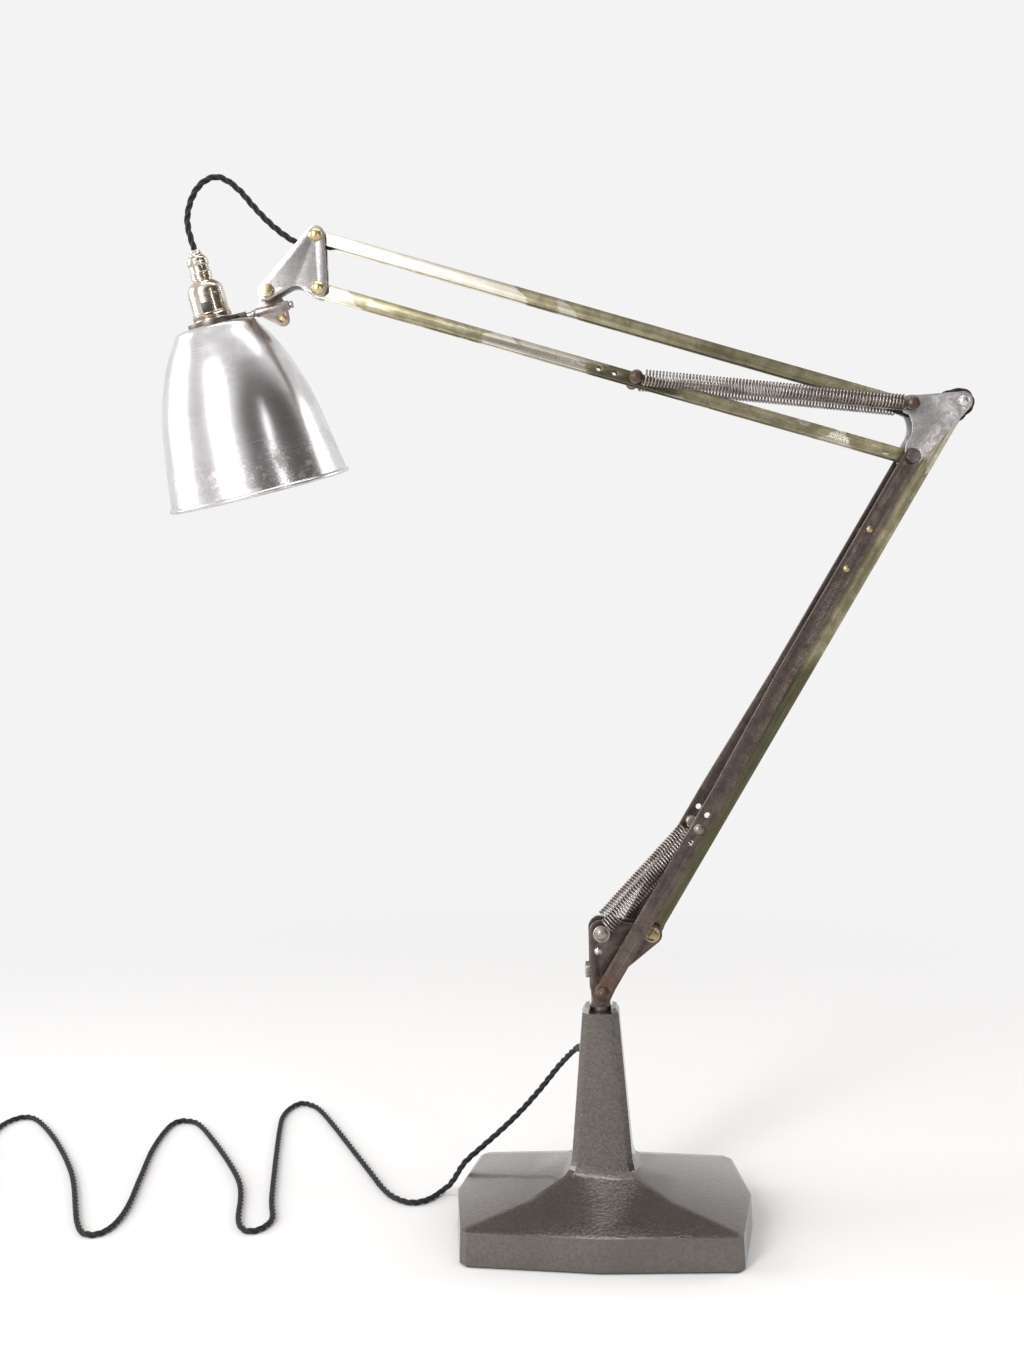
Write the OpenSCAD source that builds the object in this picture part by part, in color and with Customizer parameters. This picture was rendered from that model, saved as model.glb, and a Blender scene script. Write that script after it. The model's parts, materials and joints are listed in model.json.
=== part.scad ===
// Balanced-arm desk lamp: iron base, sprung double lower arm, sprung upper arm, bell shade.
// Origin: middle of the base, on the surface it stands on. +Z up, arms in the XZ plane, head towards -X.

/* [Base] */
// Length of the base between its corners, along X
base_w = 238; // [200:1:290]
// Depth of the base between its corners, along Y
base_d = 182; // [150:1:220]
// How far each end bulges beyond the corners
bulge_x = 12; // [4:1:18]
// How far the front and back bulge beyond the corners
bulge_y = 8; // [3:1:12]
// Height of the upright rim of the base
rim_h = 32; // [24:1:40]
// Height where the stem leaves the sloping top
foot_h = 55; // [50:1:62]
// Height of the top of the stem
stem_top = 199; // [170:1:240]
// Width of the stem at its top
stem_top_w = 31; // [28:1:38]
// Width of the stem where it leaves the base
stem_foot_w = 53; // [46:1:62]
// Thickness of the casting's walls
wall = 8; // [6:0.5:10]
// Turn of the base about the swivel, as it stands
base_turn = -5.5; // [-10:0.5:10]

/* [Swivel] */
// Radius of the swivel post's shank
shank_r = 7; // [6:0.25:8]
// Wall of the bush that the shank turns in
bush_wall = 2; // [1.5:0.25:3]
// Length of the bush
bush_len = 62; // [50:1:75]
// Depth of the slot across the stem's top
slot_depth = 4; // [3:0.5:8]
// Height of the lower pivot above the stem's top
pivot_rise = 17; // [14:0.5:24]

/* [Arms] */
// Distance between the lower arm's pivots
lower_len = 533; // [460:1:620]
// Distance between the upper arm's pivots
upper_len = 528; // [460:1:620]
// Rise of the lower arm above the horizontal, as it stands
lower_angle = 59.2; // [54:0.5:66]
// Rise of the upper arm towards the head, as it stands
upper_angle = 16.6; // [5:0.1:30]
// Offset of the lower link's pivots from the arm's, along X
link_dx = 45; // [42:0.5:48]
// Offset of the lower link's pivots from the arm's, upwards
link_dz = 47; // [44:0.5:50]
// Height of the upper link's pivots above the arm's
link_rise = 44.5; // [40:0.5:52]
// Width of a lower arm bar, seen from the side
lower_bar_w = 14.5; // [12:0.5:16]
// Thickness of a lower arm bar
lower_bar_t = 3.2; // [2.5:0.1:4]
// Depth across the brass channels, along Y
channel_d = 12; // [10.5:0.5:12.5]
// Height of the brass channels, seen from the side
channel_h = 11; // [10:0.5:12.5]
// Wall of the brass channels
channel_t = 1.2; // [1:0.1:1.5]
// Thickness of the bracket, elbow and head plates
plate_t = 2; // [1.5:0.1:2.6]
// Gap between the two plates of the elbow, head and bracket
plate_gap = 16; // [15.4:0.2:17]
// Radius of the pivot pins
pin_r = 2.4; // [2:0.1:2.6]

/* [Springs] */
// Outer radius of the lower springs
lower_spring_r = 7.25; // [6.5:0.25:7.5]
// Outer radius of the upper springs
upper_spring_r = 7; // [6:0.25:7.25]
// Wire thickness of the springs
wire_d = 1.8; // [1.4:0.1:2.2]
// Distance of the springs from the arm's middle plane
spring_y = 18; // [17.8:0.1:18.4]
// Height of the lower spring pin above the lower pivot
spring_rise = 51; // [48:0.5:56]
// Distance of the lower spring stud from the lower pivot
stud_at = 165; // [150:1:185]
// Distance of the upper spring pin from the elbow pivot
arm_pin_at = 247; // [225:1:260]
// Spacing of the spare spring holes
hole_pitch = 14; // [12:0.5:18]

/* [Head] */
// Distance of the tilt bolt from the upper arm's end pivot, along X
tilt_dx = 43.5; // [40:0.5:50]
// Distance of the shade rod below the tilt bolt
rod_drop = 14; // [12:0.5:16]
// Distance from the tilt bolt to the shade's axis, along the rod
rod_reach = 51; // [48:0.5:60]
// Rise of the shade rod towards the arm
rod_angle = 12.8; // [5:0.1:20]
// Turn of the shade about its rod
rod_roll = 8; // [-20:0.5:20]
// Radius of the shade rod
rod_r = 2.1; // [1.8:0.1:2.4]
// Radius of the shade's mouth, outside its rolled rim
mouth_r = 80; // [70:1:95]
// Height of the shade
shade_h = 146; // [130:1:170]
// Radius of the shade's flat top
crown_r = 31; // [28:0.5:36]
// Thickness of the shade's sheet
sheet_t = 1.2; // [1:0.1:1.6]

/* [Cord] */
// Diameter of the braided cord
cord_d = 5.6; // [5:0.1:6]

/* [Hidden] */
$fn = 48;
FIT = 0.05;         // running clearance on radius
GAP = 0.4;          // clearance between parts that pass each other
FELT = 2;           // thickness of the felt under the base
half_gap = plate_gap / 2;
plate_out = half_gap + plate_t;
bar_in_top = plate_out + 0.8;       // inner face of a lower bar at the elbow
bar_in_low = spring_y + lower_spring_r + 0.8; // inner face of a lower bar beside the springs
A = [0, stem_top + pivot_rise];
B = A + [link_dx, link_dz];
S1 = A + [0, spring_rise];
C = A + lower_len * [cos(lower_angle), sin(lower_angle)];
D = C + [link_dx, link_dz];
E = C + [-1, link_rise];
F = C + upper_len * [-cos(upper_angle), sin(upper_angle)];
G = F + [-1, link_rise];
J = F + [-tilt_dx, -2];
ARM_DIR = [cos(lower_angle), sin(lower_angle)];
STUD = A + stud_at * ARM_DIR;
H = C + arm_pin_at * [-cos(upper_angle), sin(upper_angle)];
lower_pin_r = 3.5;
elbow_pin_r = 3;
bush_r = shank_r + bush_wall;
slot_floor = stem_top - slot_depth;
slot_w = 20;        // width of the slot across the stem's top
bush_low = slot_floor - bush_len;
rod_foot = J + rod_drop * [sin(rod_angle), -cos(rod_angle)];
P = rod_foot - rod_reach * [cos(rod_angle), sin(rod_angle)];

// ---- shapes used throughout ----
function arc(c, r, a0, a1, n = 8) =
    [for (i = [0:n]) let (a = a0 + (a1 - a0) * i / n) c + r * [cos(a), sin(a)]];
// Puts a flat shape, drawn in X and Z, between two distances along Y
module plate(y0, y1) {
    translate([0, y1, 0]) rotate([90, 0, 0]) linear_extrude(height = y1 - y0) children();
}
// A round bar along Y
module ybar(p, r, y0, y1) { translate([p[0], y1, p[1]]) rotate([90, 0, 0]) cylinder(r = r, h = y1 - y0); }
module ytube(p, r, bore, y0, y1) {
    difference() { ybar(p, r, y0, y1); ybar(p, bore, y0 - 1, y1 + 1); }
}
// A low round head standing on the near side (side -1) or the far side (side 1) of a face at y
module yhead(p, r, h, y, side) {
    big = (r * r + h * h) / (2 * h);
    translate([p[0], y, p[1]]) rotate([-90 * side, 0, 0])
        intersection() { translate([0, 0, h - big]) sphere(r = big, $fn = 64); cylinder(r = r, h = h + 1); }
}
module yhex(p, r, h, y, side, turn = 0) {
    translate([p[0], y, p[1]]) rotate([-90 * side, 0, 0]) rotate([0, 0, turn])
        cylinder(r = r, h = h, $fn = 6);
}
// Lays children out along an arm: +X from the pivot p along the angle a, +Z to its left
module along(p, a) { translate([p[0], 0, p[1]]) rotate([0, -a, 0]) children(); }
module slot_shape(len, w) {
    polygon(concat(arc([len, 0], w / 2, -90, 90), arc([0, 0], w / 2, 90, 270)));
}
// An open brass channel from one pivot to the other, with the bores of its two ends; its open side is -Z
module channel(len, high, bores) {
    difference() {
        plate(-channel_d / 2, channel_d / 2) slot_shape(len, high);
        translate([-high, -channel_d / 2 + channel_t, -high])
            cube([len + 2 * high, channel_d - 2 * channel_t, high * 1.5 - channel_t]);
        for (k = [0, 1]) ybar([k * len, 0], bores[k] + FIT, -channel_d, channel_d);
    }
}
// A coil spring's envelope between two pins, with a ring round each pin; local X from p to q
module spring(p, q, r, y, ring) {
    run = norm(q - p);
    lean = atan2(q[1] - p[1], q[0] - p[0]);
    end = ring + 2 * wire_d;
    along(p, lean) {
        difference() {
            translate([end, y, 0]) rotate([0, 90, 0]) cylinder(r = r, h = run - 2 * end);
            translate([end - 1, y, 0]) rotate([0, 90, 0]) cylinder(r = r - wire_d, h = run - 2 * end + 2);
        }
        for (u = [0, run]) translate([u, y, 0]) rotate([90, 0, 0])
            rotate_extrude() translate([ring + wire_d / 2, 0]) circle(r = wire_d / 2, $fn = 16);
        for (u = [ring + wire_d * 0.6, run - end - wire_d])
            translate([u, y, 0]) rotate([0, 90, 0]) cylinder(r = wire_d / 2, h = 2.4 * wire_d, $fn = 16);
        for (u = [end, run - end - wire_d]) translate([u, y - wire_d / 2, -r + wire_d / 2])
            cube([wire_d, wire_d, 2 * r - wire_d]);
    }
}

// ---- cords: a smooth line through hand-set points, swept as a tube ----
function spline(p, i, t) =
    let (n = len(p) - 1, a = p[max(i - 1, 0)], b = p[i], c = p[i + 1], d = p[min(i + 2, n)])
    0.5 * (2 * b + (c - a) * t + (2 * a - 5 * b + 4 * c - d) * t * t + (3 * b - a - 3 * c + d) * t * t * t);
function smooth(p, steps) = concat(
    [for (i = [0:len(p) - 2], k = [0:steps - 1]) spline(p, i, k / steps)], [p[len(p) - 1]]);
function unit(v) = v / norm(v);
function heading(q, i) = unit(q[min(i + 1, len(q) - 1)] - q[max(i - 1, 0)]);
// A side direction carried from ring to ring without twist
function carried(q, i, s) = i >= len(q) ? [] :
    let (t = heading(q, i), w = unit(s - (s * t) * t)) concat([w], carried(q, i + 1, w));
module tube(points, d, steps, sides = 8) {
    q = smooth(points, steps);
    t0 = heading(q, 0);
    side = carried(q, 0, abs(t0[2]) > 0.9 ? [1, 0, 0] : [0, 0, 1]);
    rings = [for (i = [0:len(q) - 1], k = [0:sides - 1])
        let (w = side[i], v = cross(heading(q, i), w), a = 360 * k / sides)
        q[i] + d / 2 * (cos(a) * w + sin(a) * v)];
    last = (len(q) - 1) * sides;
    polyhedron(points = rings, faces = concat(
        [[for (k = [0:sides - 1]) k]],
        [for (i = [0:len(q) - 2], k = [0:sides - 1]) let (n = (k + 1) % sides, a = i * sides)
            each [[a + k, a + sides + k, a + n], [a + n, a + sides + k, a + sides + n]]],
        [[for (k = [0:sides - 1]) last + sides - 1 - k]]));
}

// ---- base ----
// One level of the casting: half sizes, bulges, corner cut and height
function level(hx, hy, bx, by, cut, z) = [
    [-hx + cut, -hy, z], [0, -hy - by, z], [hx - cut, -hy, z], [hx, -hy + cut, z],
    [hx + bx, 0, z], [hx, hy - cut, z], [hx - cut, hy, z], [0, hy + by, z],
    [-hx + cut, hy, z], [-hx, hy - cut, z], [-hx - bx, 0, z], [-hx, -hy + cut, z]];
module loft(levels) {
    n = len(levels[0]);
    last = (len(levels) - 1) * n;
    polyhedron(points = [for (l = levels) each l], faces = concat(
        [[for (k = [0:n - 1]) k]],
        [for (i = [0:len(levels) - 2], k = [0:n - 1]) let (m = (k + 1) % n, a = i * n)
            each [[a + k, a + n + k, a + m], [a + m, a + n + k, a + n + m]]],
        [[for (k = [0:n - 1]) last + n - 1 - k]]));
}
function stem_half(z) =
    (stem_foot_w + (stem_top_w - stem_foot_w) * (z - foot_h - 12) / (stem_top - foot_h - 12)) / 2;
rim_x = base_w / 2;
rim_y = base_d / 2;
flare = stem_foot_w / 2;
slope_h = foot_h - rim_h;
crown = 0.6;        // how far the stem's faces swell at their middle
function shell(g, low) = [
    level(rim_x - g, rim_y - g, bulge_x, bulge_y, 6, low),
    level(rim_x - g - 1, rim_y - g - 1, bulge_x, bulge_y, 6, rim_h - 2 - g),
    level(rim_x - g - 4, rim_y - g - 4, bulge_x, bulge_y, 5, rim_h - g),
    level(rim_x * 0.52 - g, rim_y * 0.64 - g, bulge_x * 0.5, bulge_y * 0.5, 5, rim_h + slope_h * 0.55 - g),
    level(flare + 7 - g, flare + 7 - g, 1.5, 1.5, 5, foot_h - g),
    level(flare + 2 - g, flare + 2 - g, crown, crown, 5, foot_h + 5 - g),
    level(flare - g, flare - g, crown, crown, 5, foot_h + 12 - g)];
hole_z = 156;       // height of the cord hole in the back of the stem
HOLE = [-8, stem_half(hole_z), hole_z];
hole_dir = unit([-0.45, 0.85, -0.3]);
hole_r = 4.6;
module at_hole() {
    translate(HOLE) rotate([0, 0, atan2(hole_dir[1], hole_dir[0])])
        rotate([0, 90 - asin(hole_dir[2]), 0]) children();
}
module base_casting() color([0.30, 0.29, 0.28]) difference() {
    rotate([0, 0, base_turn]) difference() {
        loft(concat(shell(0, FELT), [
            level(stem_half(stem_top - 4), stem_half(stem_top - 4), crown, crown, 5, stem_top - 4),
            level(stem_top_w / 2 - 2.2, stem_top_w / 2 - 2.2, crown, crown, 4, stem_top)]));
        loft(concat([level(rim_x - wall, rim_y - wall, bulge_x, bulge_y, 6, FELT - 1)],
            [for (i = [1:6]) shell(wall, FELT)[i]],
            [level(bush_r + 3, bush_r + 3, crown, crown, 3, bush_low - 18)]));
        translate([0, 0, -1]) linear_extrude(height = FELT + 2.5) offset_plan(wall - 3);
        translate([-slot_w / 2, -stem_top_w, slot_floor]) cube([slot_w, 2 * stem_top_w, slot_depth + 1]);
    }
    translate([0, 0, bush_low - 30]) cylinder(r = bush_r, h = 300);
    at_hole() translate([0, 0, -26]) cylinder(r = hole_r, h = 40);
    at_screw() translate([0, 0, -1]) cylinder(r = 2.5, h = 40);
}
module offset_plan(g) {
    polygon([for (q = level(rim_x - g, rim_y - g, bulge_x, bulge_y, 6, 0)) [q[0], q[1]]]);
}
module base_cover() color([0.2, 0.2, 0.2]) rotate([0, 0, base_turn])
    translate([0, 0, FELT]) linear_extrude(height = 1.4) offset_plan(wall - 2.8);
module base_felt() color([0.12, 0.22, 0.15]) rotate([0, 0, base_turn])
    linear_extrude(height = FELT) offset_plan(1.5);
module stem_bush() color([0.7, 0.6, 0.35]) difference() {
    translate([0, 0, bush_low]) cylinder(r = bush_r, h = bush_len);
    translate([0, 0, bush_low - 1]) cylinder(r = shank_r + FIT, h = bush_len + 2);
    at_hole() translate([0, 0, -26]) cylinder(r = hole_r, h = 40);
    at_screw() translate([0, 0, -1]) cylinder(r = 2.5, h = 40);
}
screw_z = 178;      // height of the screw that holds the swivel post
groove_depth = 1.4;
module at_screw() {
    translate([0, 0, screw_z]) rotate([-90, 0, 0]) translate([0, 0, shank_r - groove_depth + 0.3]) children();
}
module bush_screw() color([0.4, 0.38, 0.36]) at_screw() difference() {
    union() {
        cylinder(r = 2.5, h = stem_half(screw_z) - shank_r + groove_depth + 0.8);
        translate([0, 0, stem_half(screw_z) - shank_r + groove_depth + 0.5]) cylinder(r = 4, h = 2.4);
    }
    translate([-5, -0.5, stem_half(screw_z) - shank_r + groove_depth + 1.7]) cube([10, 1, 3]);
}
module cord_gland() color([0.08, 0.08, 0.08]) at_hole() difference() {
    union() {
        translate([0, 0, -6]) cylinder(r = hole_r, h = 8);
        rotate_extrude() polygon([[0, 1.6], [6.4, 1.6], [6.4, 4], [4.6, 6], [3.5, 24], [0, 24]]);
    }
    translate([0, 0, -7]) cylinder(r = cord_d / 2, h = 40);
}

// ---- mains cord, coil and plug ----
lay = cord_d / 2 + 0.2; // height of the cord's middle where it lies flat
exit_p = HOLE + 12 * hole_dir;
MAINS = concat([exit_p, HOLE + 26 * hole_dir], [
    [-34, 62, 127], [-53, 70, 101], [-72, 76, 78], [-91, 76, 60], [-110, 72, 45], [-125, 68, 33],
    [-137, 75, 12.5], [-146, 76, lay + 1.2], [-158, 59, lay], [-172, 52, lay], [-186, 60, lay],
        [-201, 83, lay],
    [-225, 146, lay], [-281, 293, lay], [-301, 327, lay], [-315, 329, lay], [-325, 298, lay],
    [-323, 243, lay], [-306, 77, lay], [-298, 20, lay], [-311, -3, lay], [-327, 17, lay],
    [-344, 115, lay], [-403, 254, lay], [-427, 283, lay], [-442, 271, lay], [-446, 207, lay],
    [-441, 128, lay], [-436, 52, lay], [-441, 8, lay], [-456, -3, lay], [-473, 22, lay],
    [-509, 134, lay], [-550, 225, lay], [-588, 290, lay], [-608, 306, lay], [-622, 292, lay],
    [-627, 262, lay], [-626.5, 212, lay]]);
// From the coil's last turn into the plug
TAIL = [[-626, 197, 8.6], [-626, 181, 8], [-626, 163, 7], [-626, 155, 7]];
module mains_cord() color([0.06, 0.06, 0.06]) { tube(MAINS, cord_d, 2); tube(TAIL, cord_d, 1); }
coil_turn_r = 31;   // radius at the middle of the turns
coil_c = [-660, 205];
module mains_coil() color([0.06, 0.06, 0.06]) translate([coil_c[0], coil_c[1], 0])
    rotate_extrude() translate([coil_turn_r - cord_d, 0.2]) square([2 * cord_d, 2 * cord_d]);
plug_c = [-626, 121];
plug_turn = -90;
module at_plug() { translate([plug_c[0], plug_c[1], 0]) rotate([0, 0, plug_turn]) children(); }
// The plug lies on its back: X along the cord, pins upwards
plug_l = 48; plug_w = 46; plug_h = 17;
module plug_outline(g) {
    polygon(concat(arc([plug_l / 2 - 12, plug_w / 2 - 12], 12 - g, 0, 90),
        arc([-plug_l / 2 + 18, plug_w / 2 - 12], 12 - g, 90, 150),
        arc([-plug_l / 2 + 18, -plug_w / 2 + 12], 12 - g, 210, 270),
            arc([plug_l / 2 - 12, -plug_w / 2 + 12], 12 - g, -90, 0)));
}
module plug_body() color([0.07, 0.07, 0.07]) at_plug() difference() {
    translate([0, 0, 7]) linear_extrude(height = plug_h - 7) plug_outline(0);
    translate([8, -3.1, 0]) cube([4.2, 6.2, 40]);
    for (s = [-1, 1]) translate([-14.2, s * 11 - 3.2, 0]) cube([4.2, 6.4, 40]);
}
module plug_cover() color([0.07, 0.07, 0.07]) at_plug() difference() {
    union() {
        translate([0, 0, 2]) linear_extrude(height = 5) plug_outline(0);
        linear_extrude(height = 2) plug_outline(2);
    }
    translate([-plug_l, -cord_d / 2 - 1, 7 - cord_d / 2 - 1]) cube([plug_l / 2 + 8, cord_d + 2, 20]);
    translate([0, 0, -1]) cylinder(r = 3, h = 3);
}
module plug_pins() color([0.75, 0.65, 0.4]) at_plug() {
    translate([8.1, -3, 9]) cube([4, 6, plug_h - 9 + 22.7]);
    for (s = [-1, 1]) translate([-14.1, s * 11 - 3.1, 9]) cube([4, 6.2, plug_h - 9 + 17.7]);
}
module plug_sleeve() color([0.07, 0.07, 0.07]) at_plug() translate([-plug_l / 2 - 21, 0, 7])
    rotate([0, 90, 0])
    difference() {
        rotate_extrude() polygon([[0, 0], [3.7, 0], [4.6, 22], [3.7, 22], [3.7, 27], [0, 27]]);
        translate([0, 0, -1]) cylinder(r = cord_d / 2, h = 40);
    }

// ---- swivel bracket ----
head_x = 8;         // half width of the post's head between the plates
post_low = hole_z + 8;      // foot of the shank, above the cord hole
block_low = stem_top + GAP; // foot of the square head, clear of the stem's lips
collar_r = 9.5;
cord_way = cord_d / 2 + 0.6;
screw_rise = 15;            // height of the bracket's screw above the lower pivot
notch_low = slot_floor - 4;  // foot of the notch that lets the cord out of the post
module swivel_post() color([0.33, 0.3, 0.28]) difference() {
    union() {
        translate([0, 0, post_low]) cylinder(r = shank_r, h = slot_floor + 1 - post_low);
        translate([0, 0, slot_floor + GAP / 2]) cylinder(r = collar_r, h = block_low - slot_floor);
        translate([-head_x, -half_gap, block_low]) cube([2 * head_x, 2 * half_gap, A[1] + 20 - block_low]);
    }
    translate([0, 0, screw_z]) rotate_extrude() translate([shank_r - groove_depth, -3]) square([5, 6]);
    translate([0, 0, post_low - 1]) cylinder(r = cord_way, h = slot_floor + 9 - post_low);
    translate([0, -cord_way, notch_low]) cube([40, 2 * cord_way, A[1] - lower_pin_r - 1 - notch_low]);
    translate([lower_pin_r + 0.8, -cord_way, notch_low]) cube([40, 2 * cord_way, 60]);
    ybar(A, lower_pin_r + FIT, -20, 20);
    translate([-head_x - 1, 0, A[1] + screw_rise]) rotate([0, 90, 0]) cylinder(r = screw_r, h = head_x + 3);
}
BRACKET_RIVET = [-2, 33];   // from the lower pivot
bracket_foot_r = 8.4;       // round foot of the plates, just above the stem
screw_r = 2;
bracket_outline = concat(
    arc(S1, 9.5, 180, 70, 6), arc(B, 9, 110, -48, 8),
    [A + [18, 13.8], A + [15, 12.5], A + [15, 7], A + [12, 5.8], A + [11.5, -3]],
    arc(A - [0, pivot_rise - bracket_foot_r - 0.6], bracket_foot_r, -40, -140, 5), [A + [-9, -3]]);
module bracket_plate(y0) plate(y0, y0 + plate_t) difference() {
    polygon(bracket_outline);
    translate(A) circle(r = lower_pin_r + FIT);
    translate(S1) circle(r = 3.5 + FIT);
    translate(B) circle(r = pin_r + FIT);
    translate(A + BRACKET_RIVET) circle(r = 2);
}
module bracket_plate_near() color([0.24, 0.21, 0.2]) bracket_plate(-plate_out);
module bracket_plate_far() color([0.24, 0.21, 0.2]) bracket_plate(half_gap);
module bracket_rivet() color([0.75, 0.75, 0.74]) {
    p = A + BRACKET_RIVET;
    ybar(p, 2, -plate_out - 0.2, plate_out + 0.2);
    ytube(p, 4, 2, -half_gap, half_gap);
    for (s = [-1, 1]) yhead(p, 3.8, 2.2, s * plate_out, s);
}
module bracket_screw() color([0.4, 0.4, 0.38]) translate([-head_x, 0, A[1] + screw_rise])
    rotate([0, -90, 0]) {
    cylinder(r = 7.4, h = 5, $fn = 6);
    translate([0, 0, -10]) cylinder(r = screw_r, h = 11);
}
bar_out_low = bar_in_low + lower_bar_t;
module lower_pivot_pin() color([0.36, 0.25, 0.19]) {
    ybar(A, lower_pin_r, -bar_out_low - 0.8, bar_out_low + 0.8);
    for (s = [-1, 1]) yhead(A, 6.4, 4.2, s * (bar_out_low + 0.3), s);
}
module lower_pivot_sleeves() color([0.3, 0.28, 0.26]) for (s = [-1, 1])
    ytube(A, 6, lower_pin_r, s < 0 ? -bar_in_low + 0.2 : plate_out, s < 0 ? -plate_out : bar_in_low - 0.2);
spring_pin_end = bar_in_low - 3.2;
module lower_spring_pin() color([0.33, 0.29, 0.27]) {
    ybar(S1, 3.5, -spring_pin_end, spring_pin_end);
    for (s = [-1, 1]) {
        ytube(S1, 7.2, 3.5, s < 0 ? -spring_pin_end : spring_pin_end - 1.2,
            s < 0 ? -spring_pin_end + 1.2 : spring_pin_end);
        yhead(S1, 5.6, 2.4, s * spring_pin_end, s);
        ytube(S1, 5.2, 3.5, s < 0 ? -spring_y + wire_d : plate_out, s < 0 ? -plate_out : spring_y - wire_d);
    }
}
module link_pin() color([0.62, 0.56, 0.4]) {
    ybar(B, pin_r, -plate_out - 0.5, plate_out + 0.5);
    for (s = [-1, 1]) {
        yhead(B, 5.8, 3.4, s * (plate_out + 0.4), s);
        ytube(B, 6.8, pin_r, s < 0 ? -plate_out - 0.5 : plate_out, s < 0 ? -plate_out : plate_out + 0.5);
        ytube(B, 5, pin_r, s < 0 ? -half_gap : channel_d / 2 + 0.3,
            s < 0 ? -channel_d / 2 - 0.3 : half_gap);
    }
}
// The cord inside the post's head and up to the lower link's foot
side_dir = [sin(lower_angle), -cos(lower_angle)]; // away from the lower arm, towards its link
pin_pass = pin_r + cord_d / 2 + 0.5;              // how far a cord's middle passes from a pin's
function xz(p) = [p[0], 0, p[1]];
UP_DIR = [cos(upper_angle), -sin(upper_angle)];   // along the upper arm, away from the head
UP_SIDE = [sin(upper_angle), cos(upper_angle)];   // across it, upwards
module bracket_cord() color([0.06, 0.06, 0.06]) tube([
    [0.6, 0, slot_floor - 3], [2.6, 0, slot_floor + 4], xz(A + [7.4, -5.5]), xz(A + [8.6, 0.5]),
        xz(A + [12, 9]), xz(A + [20, 18.5]), xz(A + [31, 28.5]),
    xz(B + 2 * side_dir - 12 * ARM_DIR), xz(B + (pin_pass + 0.2) * side_dir - 3.2 * ARM_DIR)], cord_d, 2);

// ---- lower arm ----
bend_a = 200;       // where the bars start to close in
bend_b = 322;       // where they run parallel again
// One bar from above: inner and outer face, with a straight slant between the bends
module bar_strip() {
    polygon([[-20, bar_in_low], [bend_a, bar_in_low], [bend_b, bar_in_top], [lower_len + 20, bar_in_top],
        [lower_len + 20, bar_in_top + lower_bar_t], [bend_b, bar_in_top + lower_bar_t],
        [bend_a, bar_out_low], [-20, bar_out_low]]);
}
spacer_at = [72, 111];      // distances of the spacers from the elbow pivot
spacer_off = 0.5;           // how far they stand off the arm's line, away from the link
module lower_bar() along(A, lower_angle) difference() {
    intersection() {
        translate([0, 0, -lower_bar_w]) linear_extrude(height = 2 * lower_bar_w) bar_strip();
        plate(0, 60) slot_shape(lower_len, lower_bar_w);
    }
    ybar([0, 0], lower_pin_r + FIT, 0, 60);
    ybar([lower_len, 0], elbow_pin_r + FIT, 0, 60);
    for (k = [-1, 0, 1]) ybar([stud_at + k * hole_pitch, 0], 2.6, 0, 60);
    for (u = spacer_at) ybar([lower_len - u, spacer_off], 1.8, 0, 60);
}
module lower_bar_near() color([0.27, 0.23, 0.21]) mirror([0, 1, 0]) lower_bar();
module lower_bar_far() color([0.27, 0.23, 0.21]) lower_bar();
module arm_spacers() color([0.4, 0.35, 0.28]) along(A, lower_angle) for (u = spacer_at) {
    p = [lower_len - u, spacer_off];
    ybar(p, 1.8, -bar_in_top - lower_bar_t, bar_in_top + lower_bar_t);
    ybar(p, 2.8, -bar_in_top, bar_in_top);
    for (s = [-1, 1]) yhead(p, 3.2, 1.8, s * (bar_in_top + lower_bar_t), s);
}
module spring_studs() color([0.45, 0.4, 0.3]) for (s = [-1, 1]) {
    ybar(STUD, 2.6, s < 0 ? -bar_out_low : spring_y - 4, s < 0 ? -spring_y + 4 : bar_out_low);
    ybar(STUD, 5, s < 0 ? -bar_in_low : spring_y + wire_d, s < 0 ? -spring_y - wire_d : bar_in_low);
    ybar(STUD, 5, s < 0 ? -spring_y + wire_d : spring_y - 4, s < 0 ? -spring_y + 4 : spring_y - wire_d);
    yhead(STUD, 5, 3, s * bar_out_low, s);
}
lower_ring = 3.5 + GAP;
module lower_spring_near() color([0.35, 0.33, 0.32]) spring(S1, STUD, lower_spring_r, -spring_y,
    lower_ring);
module lower_spring_far() color([0.35, 0.33, 0.32]) spring(S1, STUD, lower_spring_r, spring_y, lower_ring);

// ---- lower link ----
module lower_link() color([0.62, 0.58, 0.38]) translate([B[0], 0, B[1]]) rotate([0, -lower_angle, 0])
    channel(lower_len, channel_h + 1.5, [pin_r, pin_r]);
module link_cord() color([0.06, 0.06, 0.06]) along(B, lower_angle) tube([
    [-1, 0, -pin_pass], [14, 0, -pin_pass + 1], [40, 0, 0], [lower_len / 2, 0, 0],
    [lower_len - 40, 0, 0], [lower_len - 18, 0, -pin_pass + 1.4]], cord_d, 3);

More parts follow.
